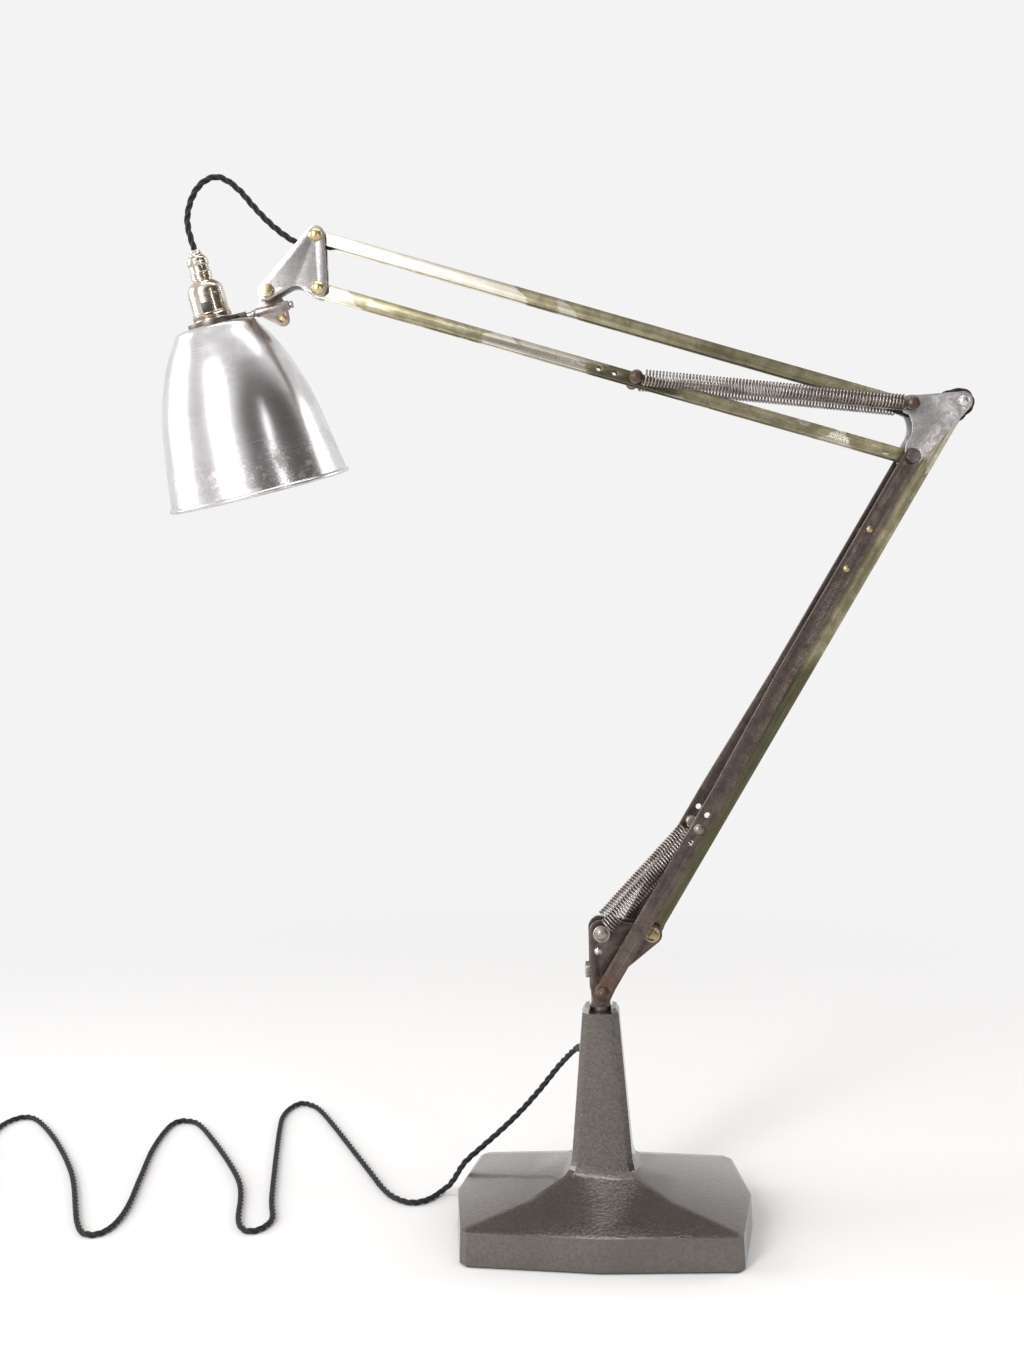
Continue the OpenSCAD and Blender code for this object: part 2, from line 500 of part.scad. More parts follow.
// ---- elbow ----
elbow_outline = concat(
    arc(C, 8.6, 210, 330, 8),
    arc(D, 8.2, -42, 100, 8),
    [E + [8, 8.2]], arc(E, 8.4, 90, 255, 7),
    arc(C + [-19, 25.5], 20, 33, -42, 8));
module elbow_plate(y0) plate(y0, y0 + plate_t) difference() {
    polygon(elbow_outline);
    translate(C) circle(r = elbow_pin_r + FIT);
    translate(D) circle(r = pin_r + FIT);
    translate(E) circle(r = 3 + FIT);
}
module elbow_plate_near() color([0.5, 0.49, 0.48]) elbow_plate(-plate_out);
module elbow_plate_far() color([0.5, 0.49, 0.48]) elbow_plate(half_gap);
bar_out_top = bar_in_top + lower_bar_t;
module elbow_bolt() color([0.6, 0.57, 0.48]) difference() {
    union() {
        ybar(C, elbow_pin_r, -bar_out_top - 1, bar_out_top + 5);
        yhex(C, 6.2, 4, -bar_out_top - 0.3, -1, 15);
        yhex(C, 6.2, 4.4, bar_out_top + 0.3, 1, 15);
        for (s = [-1, 1]) ytube(C, 5, elbow_pin_r, s < 0 ? -half_gap : channel_d / 2 + 0.3,
            s < 0 ? -channel_d / 2 - 0.3 : half_gap);
    }
    translate([C[0] - 8, -bar_out_top - 5, C[1] - 0.6]) cube([16, 2, 1.2]);
}
module elbow_rivet() color([0.78, 0.76, 0.7]) {
    ybar(D, pin_r, -plate_out - 0.5, plate_out + 0.5);
    for (s = [-1, 1]) {
        yhead(D, 5.4, 3.6, s * plate_out, s);
        ytube(D, 4.6, pin_r, s < 0 ? -half_gap : channel_d / 2 + 0.3,
            s < 0 ? -channel_d / 2 - 0.3 : half_gap);
    }
}
upper_pin_end = spring_y + upper_spring_r - 3;
module upper_spring_ends(p, inner) {
    for (s = [-1, 1]) {
        ytube(p, 4.8, 3, s < 0 ? -spring_y + wire_d : inner, s < 0 ? -inner : spring_y - wire_d);
        ytube(p, 5.6, 3, s < 0 ? -upper_pin_end : upper_pin_end - 1,
            s < 0 ? -upper_pin_end + 1 : upper_pin_end);
        yhead(p, 5.6, 2.6, s * upper_pin_end, s);
    }
}
module elbow_spring_pin() color([0.38, 0.27, 0.22]) {
    ybar(E, 3, -upper_pin_end, upper_pin_end);
    upper_spring_ends(E, plate_out);
}
elbow_turn_r = 9.8;
// From the lower link's mouth, outside the rivet, then down behind the plate to the upper link's mouth
module elbow_cord() color([0.06, 0.06, 0.06]) tube(concat(
    [xz(D - 13.4 * ARM_DIR + (pin_pass + 0.2) * side_dir), xz(D - 9 * ARM_DIR + (pin_pass + 1.5) * side_dir)],
    [for (a = [-35:28:105]) xz(D + elbow_turn_r * [cos(a), sin(a)])],
    [xz(E + [32, 9]), xz(E + [22, 2]), xz(E + [12, -4.5]), xz(E + [3, -pin_pass - 1]),
     xz(E - 1.4 * UP_DIR - (pin_pass + 0.7) * UP_SIDE)]), cord_d, 2);

// ---- upper arm ----
arm_holes = [arm_pin_at + 18, arm_pin_at + 32];
module upper_arm_bar() color([0.68, 0.62, 0.4]) along(F, -upper_angle) difference() {
    channel(upper_len, channel_h, [pin_r, elbow_pin_r]);
    ybar([upper_len - arm_pin_at, 0], 3, -20, 20);
    for (u = arm_holes) ybar([upper_len - u, 0], 2.1, -20, 20);
}
module arm_spring_pin() color([0.36, 0.31, 0.28]) {
    ybar(H, 3, -upper_pin_end, upper_pin_end);
    upper_spring_ends(H, channel_d / 2);
}
upper_ring = 3 + GAP;
module upper_spring_near() color([0.35, 0.33, 0.32]) spring(H, E, upper_spring_r, -spring_y, upper_ring);
module upper_spring_far() color([0.35, 0.33, 0.32]) spring(H, E, upper_spring_r, spring_y, upper_ring);
module upper_link_bar() color([0.68, 0.62, 0.4]) along(G, -upper_angle)
    channel(upper_len, channel_h, [pin_r, elbow_pin_r]);
module upper_cord() color([0.06, 0.06, 0.06]) along(G, -upper_angle) tube([
    [-1, 0, -pin_pass], [14, 0, -pin_pass + 1], [38, 0, -0.6], [upper_len / 2, 0, -0.6],
    [upper_len - 40, 0, -0.6], [upper_len - 16, 0, -pin_pass], [upper_len - 3, 0, -pin_pass - 0.6]],
        cord_d, 3);

// ---- head bracket ----
head_outline = concat(
    arc(F, 8, -80, 0, 5), arc(G, 8, 10, 125, 6),
    arc(J, 7.6, 160, 290, 6), arc(F + [-19, -8], 10, 110, 35, 5));
module head_plate(y0) plate(y0, y0 + plate_t) difference() {
    polygon(head_outline);
    translate(F) circle(r = pin_r + FIT);
    translate(G) circle(r = pin_r + FIT);
    translate(J) circle(r = 2.5 + FIT);
}
module head_plate_near() color([0.6, 0.59, 0.58]) head_plate(-plate_out);
module head_plate_far() color([0.6, 0.59, 0.58]) head_plate(half_gap);
module head_pins() color([0.72, 0.62, 0.36]) for (p = [F, G]) {
    ybar(p, pin_r, -plate_out - 0.5, plate_out + 0.5);
    for (s = [-1, 1]) {
        yhead(p, 6.2, 3.8, s * plate_out, s);
        ytube(p, 4.6, pin_r, s < 0 ? -half_gap : channel_d / 2 + 0.3,
            s < 0 ? -channel_d / 2 - 0.3 : half_gap);
    }
}
cheek_t = 1.8;
cheek_gap = 0.6;
cheek_out = cheek_gap + cheek_t;
module tilt_bolt() color([0.75, 0.66, 0.42]) {
    ybar(J, 2.5, -plate_out - 2, plate_out + 2);
    for (s = [-1, 1]) {
        yhex(J, 6.2, 4.2, s * plate_out, s, 10);
        ytube(J, 5, 2.5, s < 0 ? -half_gap : cheek_out + 0.1, s < 0 ? -cheek_out - 0.1 : half_gap);
    }
}

// ---- clamp: two cheeks that grip the shade's rod, hung on the tilt bolt ----
clamp_screw_p = rod_foot + [9, -8.5];
groove_a = -14;     // reach of the cheek's groove along the rod, each way from below the tilt bolt
groove_b = 15;
cheek_outline = concat(
    arc(J, 7.4, 45, 190, 6), [rod_foot + [-11, -5]], arc(clamp_screw_p, 6, 235, 350, 5),
        [rod_foot + [13, 3]]);
module cheek() difference() {
    union() {
        plate(cheek_gap, cheek_out) polygon(cheek_outline);
        intersection() {
            along(rod_foot, rod_angle) translate([groove_a, 0, 0]) rotate([0, 90, 0])
                cylinder(r = rod_r + cheek_t, h = groove_b - groove_a);
            translate([-500, cheek_gap, 0]) cube([1000, 20, 1500]);
        }
    }
    along(rod_foot, rod_angle) translate([groove_a - 20, 0, 0]) rotate([0, 90, 0])
        cylinder(r = rod_r + FIT, h = 80);
    ybar(J, 2.5 + FIT, -5, 10);
    ybar(clamp_screw_p, 2 + FIT, -5, 10);
}
module clamp_cheek_near() color([0.42, 0.38, 0.36]) mirror([0, 1, 0]) cheek();
module clamp_cheek_far() color([0.42, 0.38, 0.36]) cheek();
module clamp_screw() color([0.66, 0.58, 0.4]) difference() {
    union() {
        ybar(clamp_screw_p, 2, -cheek_out, cheek_out + 3.5);
        yhead(clamp_screw_p, 3.6, 2.2, -cheek_out, -1);
        yhex(clamp_screw_p, 3.9, 2.8, cheek_out, 1);
    }
    translate([clamp_screw_p[0] - 5, -cheek_out - 3, clamp_screw_p[1] - 0.4]) cube([10, 1.6, 0.8]);
}

// ---- shade, holder and bulb, drawn about the shade's own axis and laid over at P ----
module at_shade() {
    translate([P[0], 0, P[1]]) rotate([0, -rod_angle, 0]) rotate([rod_roll, 0, 0]) children();
}
ring_r = 22.5;      // carrier ring
ring_t = 4.3;
holder_r = 16;      // lampholder barrel
rod_end = rod_reach + 18.5;
module shade_rod() color([0.45, 0.43, 0.42]) at_shade() {
    translate([ring_r - 1, 0, 0]) rotate([0, 90, 0]) cylinder(r = rod_r, h = rod_end - ring_r + 1);
    for (u = [rod_reach + groove_b + 0.6, rod_reach + groove_a - 3.6]) translate([u, 0, 0])
        rotate([0, 90, 0]) cylinder(r = rod_r + 0.8, h = 3);
}
module carrier_ring() color([0.25, 0.23, 0.22]) at_shade() difference() {
    union() {
        translate([0, 0, -ring_t / 2]) cylinder(r = ring_r, h = ring_t);
        intersection() {
            translate([ring_r - 6, 0, 0]) rotate([0, 90, 0]) cylinder(r = rod_r + 1.4, h = 12);
            translate([0, -10, -ring_t / 2]) cube([50, 20, 20]);
        }
    }
    translate([0, 0, -10]) cylinder(r = holder_r - 2, h = 20);
    translate([ring_r - 1, 0, 0]) rotate([0, 90, 0]) cylinder(r = rod_r, h = 30);
}
skirt_h = 6;
holder_t = 2;       // wall of the holder's parts
module holder_skirt() color([0.76, 0.74, 0.7]) at_shade() rotate_extrude() polygon(concat(
    [[holder_r - holder_t - 1.2, crown_z - 7], [holder_r - holder_t - 0.02, crown_z - 7],
     [holder_r - holder_t - 0.02, ring_t / 2], [holder_r + 1.2, ring_t / 2]],
    arc([holder_r, ring_t / 2 + 1.6], 1.4, -20, 90, 4),
    [[holder_r, ring_t / 2 + skirt_h], [holder_r - holder_t - 1.2, ring_t / 2 + skirt_h]]));
body_low = ring_t / 2 + skirt_h;
barrel_h = 19;
neck_r = 7.3;
grip_r = 9.3;
switch_z = body_low + 5;
// Barrel with a domed shoulder and a neck
module holder_body() color([0.76, 0.74, 0.68]) at_shade() difference() {
    rotate_extrude() polygon(concat(
        [[holder_r - 2, body_low], [holder_r + 0.5, body_low], [holder_r + 0.5, body_low + 1.6],
            [holder_r - 0.4, body_low + 2]],
        [[holder_r - 0.6, body_low + barrel_h]],
        arc([holder_r - 8.6, body_low + barrel_h], 8, 8, 82, 6),
        [[neck_r, body_low + barrel_h + 9], [neck_r, body_low + barrel_h + 15],
            [neck_r - 1.6, body_low + barrel_h + 15],
         [neck_r - 1.6, body_low + barrel_h + 7], [holder_r - 9, body_low + barrel_h + 6],
             [holder_r - 2.2, body_low + barrel_h]]));
    translate([-4.6, -30, switch_z - 4.6]) cube([9.2, 60, 9.2]);
}
grip_low = body_low + barrel_h + 10;
grip_top = 62;
module cord_grip() color([0.78, 0.76, 0.7]) at_shade() difference() {
    rotate_extrude() polygon(concat(
        [[neck_r + 0.02, grip_low], [grip_r - 0.8, grip_low], [grip_r, grip_low + 1],
            [grip_r, grip_low + 12]],
        arc([grip_r - 4, grip_low + 12], 4, 10, 70, 5),
        [[cord_d / 2 + 1.4, grip_top], [cord_d / 2 + 0.02, grip_top], [cord_d / 2 + 0.02, grip_low + 8],
            [neck_r + 0.02, grip_low + 6]]));
}
module switch_bar() color([0.07, 0.07, 0.08]) at_shade() {
    translate([-4.1, -holder_r - 5, switch_z - 4.1]) cube([8.2, 10, 8.2]);
    translate([-4.1, holder_r - 8, switch_z - 4.1]) cube([8.2, 10, 8.2]);
    translate([-3, -holder_r, switch_z - 3]) cube([6, 2 * holder_r, 6]);
}
crown_z = -ring_t / 2;          // outside of the shade's flat top
bead_r = 2;
// Outer radius of the shade at a distance below its crown, as a share of its height
SWELL = [[0.045, 0.475], [0.13, 0.575], [0.26, 0.69], [0.47, 0.82], [0.72, 0.905]];
shade_out = concat([[crown_r, 0], [crown_r + 4, -1.6]], [for (s = SWELL) [s[1] * mouth_r, -s[0] * shade_h]],
    [[mouth_r - bead_r + 0.5, -shade_h + bead_r]]);
module shade() color([0.78, 0.78, 0.78]) at_shade() translate([0, 0, crown_z]) {
    outer = [for (i = [0:len(shade_out) - 2], k = [0:2]) spline(shade_out, i, k / 3)];
    rim = shade_out[len(shade_out) - 1];
    rotate_extrude(convexity = 4) polygon(concat(
        [[holder_r - 1.9, 0]], outer, [rim], [rim - [sheet_t, 0]],
        [for (i = [len(outer) - 1:-1:0]) outer[i] - [sheet_t, i < 3 ? sheet_t : 0]],
            [[holder_r - 1.9, -sheet_t]]));
    rotate_extrude() translate([mouth_r - bead_r, -shade_h + bead_r]) circle(r = bead_r, $fn = 20);
}
bulb_r = 30;
cap_low = crown_z - 26;
module bulb_cap() color([0.7, 0.7, 0.66]) at_shade() {
    translate([0, 0, cap_low]) cylinder(r = 11, h = 24);
    translate([0, 0, crown_z - 12]) rotate([90, 0, 0]) translate([0, 0, -13]) cylinder(r = 1, h = 26);
}
bulb_c = cap_low - 46;
bulb_wall = 1;
function bulb_side(g) = concat(arc([0, bulb_c], bulb_r - g, -90, 52, 16),
    [[14.4 - g, cap_low - 9], [12.4 - g, cap_low - 2], [12.4 - g, cap_low]]);
module bulb_glass() color([0.95, 0.95, 0.92]) at_shade() rotate_extrude($fn = 64)
    polygon(concat(bulb_side(0), [for (i = [len(bulb_side(0)) - 1:-1:0]) bulb_side(bulb_wall)[i]]));
// The free loop of cord between the head plates and the cord grip
function shade_pt(v) = let (a = rod_angle, b = rod_roll,
    w = [v[0], v[1] * cos(b) - v[2] * sin(b), v[1] * sin(b) + v[2] * cos(b)])
    [P[0] + w[0] * cos(a) - w[2] * sin(a), w[1], P[1] + w[0] * sin(a) + w[2] * cos(a)];
grip_p = shade_pt([0, 0, grip_top - 6]);
// Points of the loop as offsets from the upper link's head pivot: X, Y and up
HEAD_LOOP = [[-8, 0, -7.5], [-15, 0, -5.5], [-27, 0, 2], [-38.5, 0, 11.5], [-47, -1, 20], [-55, -1, 29],
    [-63, -2, 38.5], [-71, -2, 45.7]];
SHADE_LOOP = [[-72, -2, 46.5], [-80, -3, 50.5], [-88, -4, 50], [-96, -5, 45], [-102, -6, 37],
    [-106, -7, 27], [-108, -8, 16], [-107, -9, 5]];
function from_g(v) = [G[0] + v[0], v[1], G[1] + v[2]];
module head_cord() color([0.06, 0.06, 0.06]) tube(concat(
    [xz(G - 3.2 * UP_DIR - (pin_pass - 0.2) * UP_SIDE)], [for (v = HEAD_LOOP) from_g(v)]), cord_d, 1);
module shade_cord() color([0.06, 0.06, 0.06]) tube(concat(
    [for (v = SHADE_LOOP) from_g(v)], [shade_pt([0, 0, grip_top + 2]), grip_p]), cord_d, 1);

base_casting();
base_cover();
base_felt();
stem_bush();
bush_screw();
cord_gland();
mains_cord();
mains_coil();
plug_body();
plug_cover();
plug_pins();
plug_sleeve();
swivel_post();
bracket_plate_near();
bracket_plate_far();
bracket_rivet();
bracket_screw();
lower_pivot_pin();
lower_pivot_sleeves();
lower_spring_pin();
link_pin();
bracket_cord();
lower_bar_near();
lower_bar_far();
arm_spacers();
spring_studs();
lower_spring_near();
lower_spring_far();
lower_link();
link_cord();
elbow_plate_near();
elbow_plate_far();
elbow_bolt();
elbow_rivet();
elbow_spring_pin();
elbow_cord();
upper_arm_bar();
arm_spring_pin();
upper_spring_near();
upper_spring_far();
upper_link_bar();
upper_cord();
head_plate_near();
head_plate_far();
head_pins();
tilt_bolt();
clamp_cheek_near();
clamp_cheek_far();
clamp_screw();
shade_rod();
carrier_ring();
holder_skirt();
holder_body();
cord_grip();
switch_bar();
shade();
bulb_glass();
bulb_cap();
head_cord();
shade_cord();
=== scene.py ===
"""Looks of a two-arm balanced desk lamp: cast base, metal arms, coil springs, spun shade and twisted cord.

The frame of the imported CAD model, in metres. Points are worked out in millimetres and pass through mm()
or are divided by 1000 where a mesh is made.
"""
import json
import math

import bmesh
import bpy
import numpy as np
from mathutils import Matrix, Vector

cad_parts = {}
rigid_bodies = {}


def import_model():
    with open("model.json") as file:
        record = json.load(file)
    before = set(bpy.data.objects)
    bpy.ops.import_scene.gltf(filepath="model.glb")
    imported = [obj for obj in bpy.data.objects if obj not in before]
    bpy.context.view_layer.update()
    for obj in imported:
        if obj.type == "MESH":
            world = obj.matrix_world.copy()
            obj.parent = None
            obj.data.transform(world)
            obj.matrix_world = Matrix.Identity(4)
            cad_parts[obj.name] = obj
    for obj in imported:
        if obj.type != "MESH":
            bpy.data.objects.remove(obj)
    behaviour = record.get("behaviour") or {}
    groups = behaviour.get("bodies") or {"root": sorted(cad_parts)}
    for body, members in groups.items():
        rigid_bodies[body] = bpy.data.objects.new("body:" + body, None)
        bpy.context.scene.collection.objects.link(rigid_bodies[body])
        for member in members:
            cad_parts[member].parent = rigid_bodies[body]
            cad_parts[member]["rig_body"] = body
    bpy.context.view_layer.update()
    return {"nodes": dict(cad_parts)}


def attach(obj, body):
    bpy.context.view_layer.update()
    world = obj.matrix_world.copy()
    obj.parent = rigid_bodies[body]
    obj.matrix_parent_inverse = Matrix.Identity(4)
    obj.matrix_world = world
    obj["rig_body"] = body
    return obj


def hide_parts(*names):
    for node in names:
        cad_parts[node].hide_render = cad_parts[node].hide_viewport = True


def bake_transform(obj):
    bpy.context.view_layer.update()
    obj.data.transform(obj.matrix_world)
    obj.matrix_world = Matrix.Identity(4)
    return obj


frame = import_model()
scene = bpy.context.scene


def mm(*values):
    return tuple(v / 1000 for v in values)


# ---- pivots and directions, repeated from the part's source ----
A = np.array([0, 0, 216.0])
B = np.array([45, 0, 263.0])
S1 = np.array([0, 0, 267.0])
C = np.array([272.919, 0, 673.826])
D = np.array([317.919, 0, 720.826])
E = np.array([271.919, 0, 718.326])
F = np.array([-233.075, 0, 824.669])
G = np.array([-234.075, 0, 869.169])
J = np.array([-276.575, 0, 822.669])
P = np.array([-323.21, 0, 797.72])
STUD = np.array([84.49, 0, 357.73])
H = np.array([36.21, 0, 744.39])


def slant(degrees):
    """A direction in the plane of the arms, and the one square to it."""
    a = math.radians(degrees)
    return np.array([math.cos(a), 0, math.sin(a)]), np.array([math.sin(a), 0, -math.cos(a)])


LOWER_DIR, LOWER_SIDE = slant(59.2)
UPPER_DIR, UPPER_UNDER = slant(-16.6)
UPPER_OVER = np.array([0.28569, 0, 0.95832])
ROD_ANGLE, ROD_ROLL = math.radians(12.8), math.radians(8)


def shade_place(v):
    """From the shade's own axes to the lamp's, in millimetres."""
    v = np.atleast_2d(np.asarray(v, float))
    y = v[:, 1] * math.cos(ROD_ROLL) - v[:, 2] * math.sin(ROD_ROLL)
    z = v[:, 1] * math.sin(ROD_ROLL) + v[:, 2] * math.cos(ROD_ROLL)
    c, s = math.cos(ROD_ANGLE), math.sin(ROD_ANGLE)
    return np.stack([P[0] + v[:, 0] * c - z * s, y, P[2] + v[:, 0] * s + z * c], axis=1)


# ---- camera ----
def place_camera():
    pitch, yaw, roll = (math.radians(a) for a in (3.29, 0.59, -0.98))
    look = Vector((math.sin(yaw) * math.cos(pitch), math.cos(yaw) * math.cos(pitch), -math.sin(pitch)))
    right = Vector((math.cos(yaw), -math.sin(yaw), 0))
    up = right.cross(look)
    r = math.cos(roll) * right + math.sin(roll) * up
    u = math.cos(roll) * up - math.sin(roll) * right
    data = bpy.data.cameras.new("studio_camera")
    data.sensor_width = 36
    data.lens = 39.56
    data.clip_start, data.clip_end = 0.05, 50
    camera = bpy.data.objects.new("studio_camera", data)
    scene.collection.objects.link(camera)
    camera.matrix_world = Matrix((
        (r.x, u.x, -look.x, -0.08688), (r.y, u.y, -look.y, -1.30364),
        (r.z, u.z, -look.z, 0.560), (0, 0, 0, 1)))
    scene.camera = camera


place_camera()


# ---- shader maths ----
class Wire:
    """An output socket that can be used in a sum."""

    def __init__(self, look, socket):
        self.look, self.socket = look, socket

    def maths(self, operation, *values):
        return self.look.node("ShaderNodeMath", {"operation": operation}, dict(enumerate(values)))

    def __add__(self, other):
        return self.maths("ADD", self, other)

    def __radd__(self, other):
        return self.maths("ADD", other, self)

    def __sub__(self, other):
        return self.maths("SUBTRACT", self, other)

    def __rsub__(self, other):
        return self.maths("SUBTRACT", other, self)

    def __mul__(self, other):
        return self.maths("MULTIPLY", self, other)

    def __rmul__(self, other):
        return self.maths("MULTIPLY", other, self)

    def size(self):
        return self.maths("ABSOLUTE", self)

    def fraction(self):
        return self.maths("FRACT", self)

    def or_more(self, other):
        """Whichever is greater."""
        return self.maths("MAXIMUM", self, other)


class Look:
    """A material, or the room's light, while it is being made."""

    def __init__(self, name, owner=None):
        self.owner = owner or bpy.data.materials.new(name)
        self.owner.use_nodes = True
        self.tree = self.owner.node_tree
        self.tree.nodes.clear()

    def node(self, kind, settings=None, sockets=None, out=0):
        made = self.tree.nodes.new(kind)
        for key, value in (settings or {}).items():
            if key == "stops":
                while len(made.color_ramp.elements) > 1:
                    made.color_ramp.elements.remove(made.color_ramp.elements[0])
                made.color_ramp.elements[0].position = value[0][0]
                made.color_ramp.elements[0].color = value[0][1]
                for at, colour in value[1:]:
                    made.color_ramp.elements.new(at).color = colour
            else:
                setattr(made, key, value)
        for key, value in (sockets or {}).items():
            if isinstance(value, Wire):
                self.tree.links.new(value.socket, made.inputs[key])
            else:
                made.inputs[key].default_value = value
        return Wire(self, made.outputs[out])

    def place(self):
        """The point's place on the piece."""
        return self.node("ShaderNodeTexCoord", out="Object")

    def wrap(self):
        """The piece's own unrolled map."""
        return self.node("ShaderNodeTexCoord", out="UV")

    def part(self, vector, axis):
        return self.node("ShaderNodeSeparateXYZ", {}, {0: vector}, out=axis)

    def joined(self, x, y, z):
        return self.node("ShaderNodeCombineXYZ", {}, {0: x, 1: y, 2: z})

    def along(self, vector, direction):
        """How far a point lies along a direction."""
        return self.node("ShaderNodeVectorMath", {"operation": "DOT_PRODUCT"},
            {0: vector, 1: tuple(direction)}, out="Value")

    def gap(self, vector, point):
        return self.node("ShaderNodeVectorMath", {"operation": "DISTANCE"}, {0: vector, 1: tuple(point)},
            out="Value")

    def noise(self, vector, scale, detail=4.0, rough=0.55, warp=0.0):
        return self.node("ShaderNodeTexNoise", {},
            {"Vector": vector, "Scale": scale, "Detail": detail, "Roughness": rough, "Distortion": warp})

    def cells(self, vector, scale, feature="F1", spread=1.0):
        return self.node("ShaderNodeTexVoronoi", {"feature": feature},
            {"Vector": vector, "Scale": scale, "Randomness": spread})

    def step(self, value, low, high):
        """0 below low, 1 above high and soft between them."""
        return self.node("ShaderNodeMapRange", {"interpolation_type": "SMOOTHSTEP"},
            {"Value": value, "From Min": low, "From Max": high})

    def mix(self, share, a, b, way="MIX"):
        return self.node("ShaderNodeMix", {"data_type": "RGBA", "blend_type": way, "clamp_factor": True},
            {0: share, 6: a, 7: b}, out=2)

    def attribute(self, name):
        return self.node("ShaderNodeAttribute", {"attribute_name": name}, out="Fac")

    def finish(self, colour, metallic, roughness, height=None, strength=0.3, depth=0.0004, **fixed):
        """The surface itself: fixed holds plain numbers for the shader's own sockets."""
        sockets = {"Base Color": colour, "Metallic": metallic, "Roughness": roughness}
        sockets.update({k.replace("_", " "): v for k, v in fixed.items()})
        if height is not None:
            sockets["Normal"] = self.node("ShaderNodeBump", {},
                {"Strength": strength, "Distance": depth, "Height": height})
        surface = self.node("ShaderNodeBsdfPrincipled", {}, sockets)
        self.close(surface)
        return self.owner

    def close(self, surface):
        output = self.tree.nodes.new("ShaderNodeOutputMaterial")
        self.tree.links.new(surface.socket, output.inputs["Surface"])


def tint(r, g, b):
    return (r, g, b, 1.0)


RUST = tint(0.125, 0.058, 0.032)
RUST_DARK = tint(0.050, 0.024, 0.015)


def bare_metal(name, body, stain, worn, metallic=0.95, rough=0.34, spread=0.16, blotch=55, speck=900,
               grain=None, rust=0.0, rust_at=(), relief=0.22, wear=0.85):
    """Old bare or thinly plated metal: stains, fine specks, rubbed edges lightened (partly wear, partly a
    painted highlight), draw lines and a little rust.
    """
    look = Look(name)
    at = look.place()
    broad = look.noise(at, blotch, 5, 0.6, 0.3)
    fine = look.noise(at, speck, 3, 0.65)
    medium = look.noise(at, blotch * 4.3, 4, 0.6)
    stained = look.step(broad, 0.40, 0.64)
    colour = look.mix(stained * 0.85, body, stain)
    colour = look.mix(look.step(medium, 0.52, 0.72) * 0.5, colour, stain)
    colour = look.mix(look.step(fine, 0.60, 0.76) * 0.45, colour, worn)
    # eased edges lightened towards the worn colour: partly rubbed metal, partly a painted highlight
    edge = look.attribute("wear") * look.step(look.noise(at, blotch * 3, 3), 0.30, 0.52) * wear
    colour = look.mix(edge, colour, worn)
    roughness = rough + (broad - 0.5) * spread * 2 + (fine - 0.5) * spread - edge * 0.12
    height = fine * 0.5 + medium
    metal = metallic - stained * 0.08
    if grain is not None:
        u, v = (look.along(at, d) for d in grain)
        drawn = look.noise(look.joined(u * 30, look.part(at, "Y") * 1800, v * 1800), 1, 3, 0.6)
        height = height + drawn * 0.7
        roughness = roughness + (drawn - 0.5) * 0.10
        colour = look.mix(look.step(drawn, 0.5, 0.75) * 0.22, colour, worn)
    if rust or rust_at:
        ragged = look.noise(at, blotch * 1.7, 6, 0.72, 0.4)
        patch = look.step(ragged, 0.66 - rust * 0.2, 0.72 - rust * 0.1) * (0.8 if rust else 0.0)
        for point, reach in rust_at:
            near = 1 - look.step(look.gap(at, mm(*point)) + (medium - 0.5) * 0.02, reach * 0.45, reach)
            patch = patch.or_more(near * look.step(look.noise(at, 240, 5, 0.7), 0.36, 0.55))
        tone = look.mix(look.step(look.noise(at, 620, 3, 0.6), 0.42, 0.6), RUST_DARK, RUST)
        colour = look.mix(patch, colour, tone)
        roughness = roughness + patch * 0.35
        metal = metal * (1 - patch * 0.9)
        height = height + patch * 0.8
    return look.finish(colour, metal, roughness, height, relief, 0.0003)


def strip_brass(name, origin, direction, side, bright_at=(), dark_at=(), patches=0.0):
    """Drawn brass strip: dull olive with specks, lengths kept bright by a cloth, and darker lengths.

    Each length is (start, end, share) in millimetres from the pivot at origin.
    """
    look = Look(name)
    at = look.place()
    u = look.along(at, direction) - float(np.dot(origin, direction)) / 1000
    w = look.along(at, side) - float(np.dot(origin, side)) / 1000
    ragged = look.noise(look.joined(u * 26, look.part(at, "Y") * 60, w * 160), 1, 4, 0.6)

    def length(start, end, share, fade):
        return (look.step(u + w * 0.6 + (ragged - 0.5) * 0.03, start / 1000, start / 1000 + fade)
                * (1 - look.step(u - w * 1.1 + (ragged - 0.5) * 0.02, end / 1000, end / 1000 + fade)) * share)

    polished = look.step(ragged, 0.60, 0.66) * patches
    for start, end, share in bright_at:
        polished = polished.or_more(length(start, end, share, 0.003))
    drawn = look.noise(look.joined(u * 25, look.part(at, "Y") * 2400, w * 2400), 1, 3, 0.6)
    broad = look.noise(at, 70, 5, 0.6, 0.4)
    speck = look.noise(at, 1300, 3, 0.7)
    dull = look.mix(look.step(broad, 0.38, 0.64), tint(0.335, 0.300, 0.195), tint(0.215, 0.190, 0.115))
    # darker lengths; on the link this is partly its tone and partly a painted shadow of the bar
    for start, end, share in dark_at:
        dull = look.mix(length(start, end, share, 0.02), dull, tint(0.085, 0.078, 0.045))
    dull = look.mix(look.step(speck, 0.56, 0.70) * 0.75, dull, tint(0.085, 0.070, 0.040))
    bright = look.mix(look.step(broad, 0.3, 0.7), tint(0.90, 0.87, 0.77), tint(0.80, 0.76, 0.62))
    colour = look.mix(polished, dull, bright)
    # eased edges lightened to pale brass: partly rubbed brass, partly a painted highlight
    edge = look.attribute("wear")
    colour = look.mix(edge * 0.6, colour, tint(0.82, 0.78, 0.64))
    colour = look.mix(look.step(drawn, 0.52, 0.75) * 0.15, colour, tint(0.80, 0.76, 0.60))
    roughness = 0.38 - polished * 0.17 + (speck - 0.5) * 0.16 + (drawn - 0.5) * 0.1
    return look.finish(colour, 0.95, roughness, drawn * 0.8 + speck * 0.35, 0.18, 0.0002)


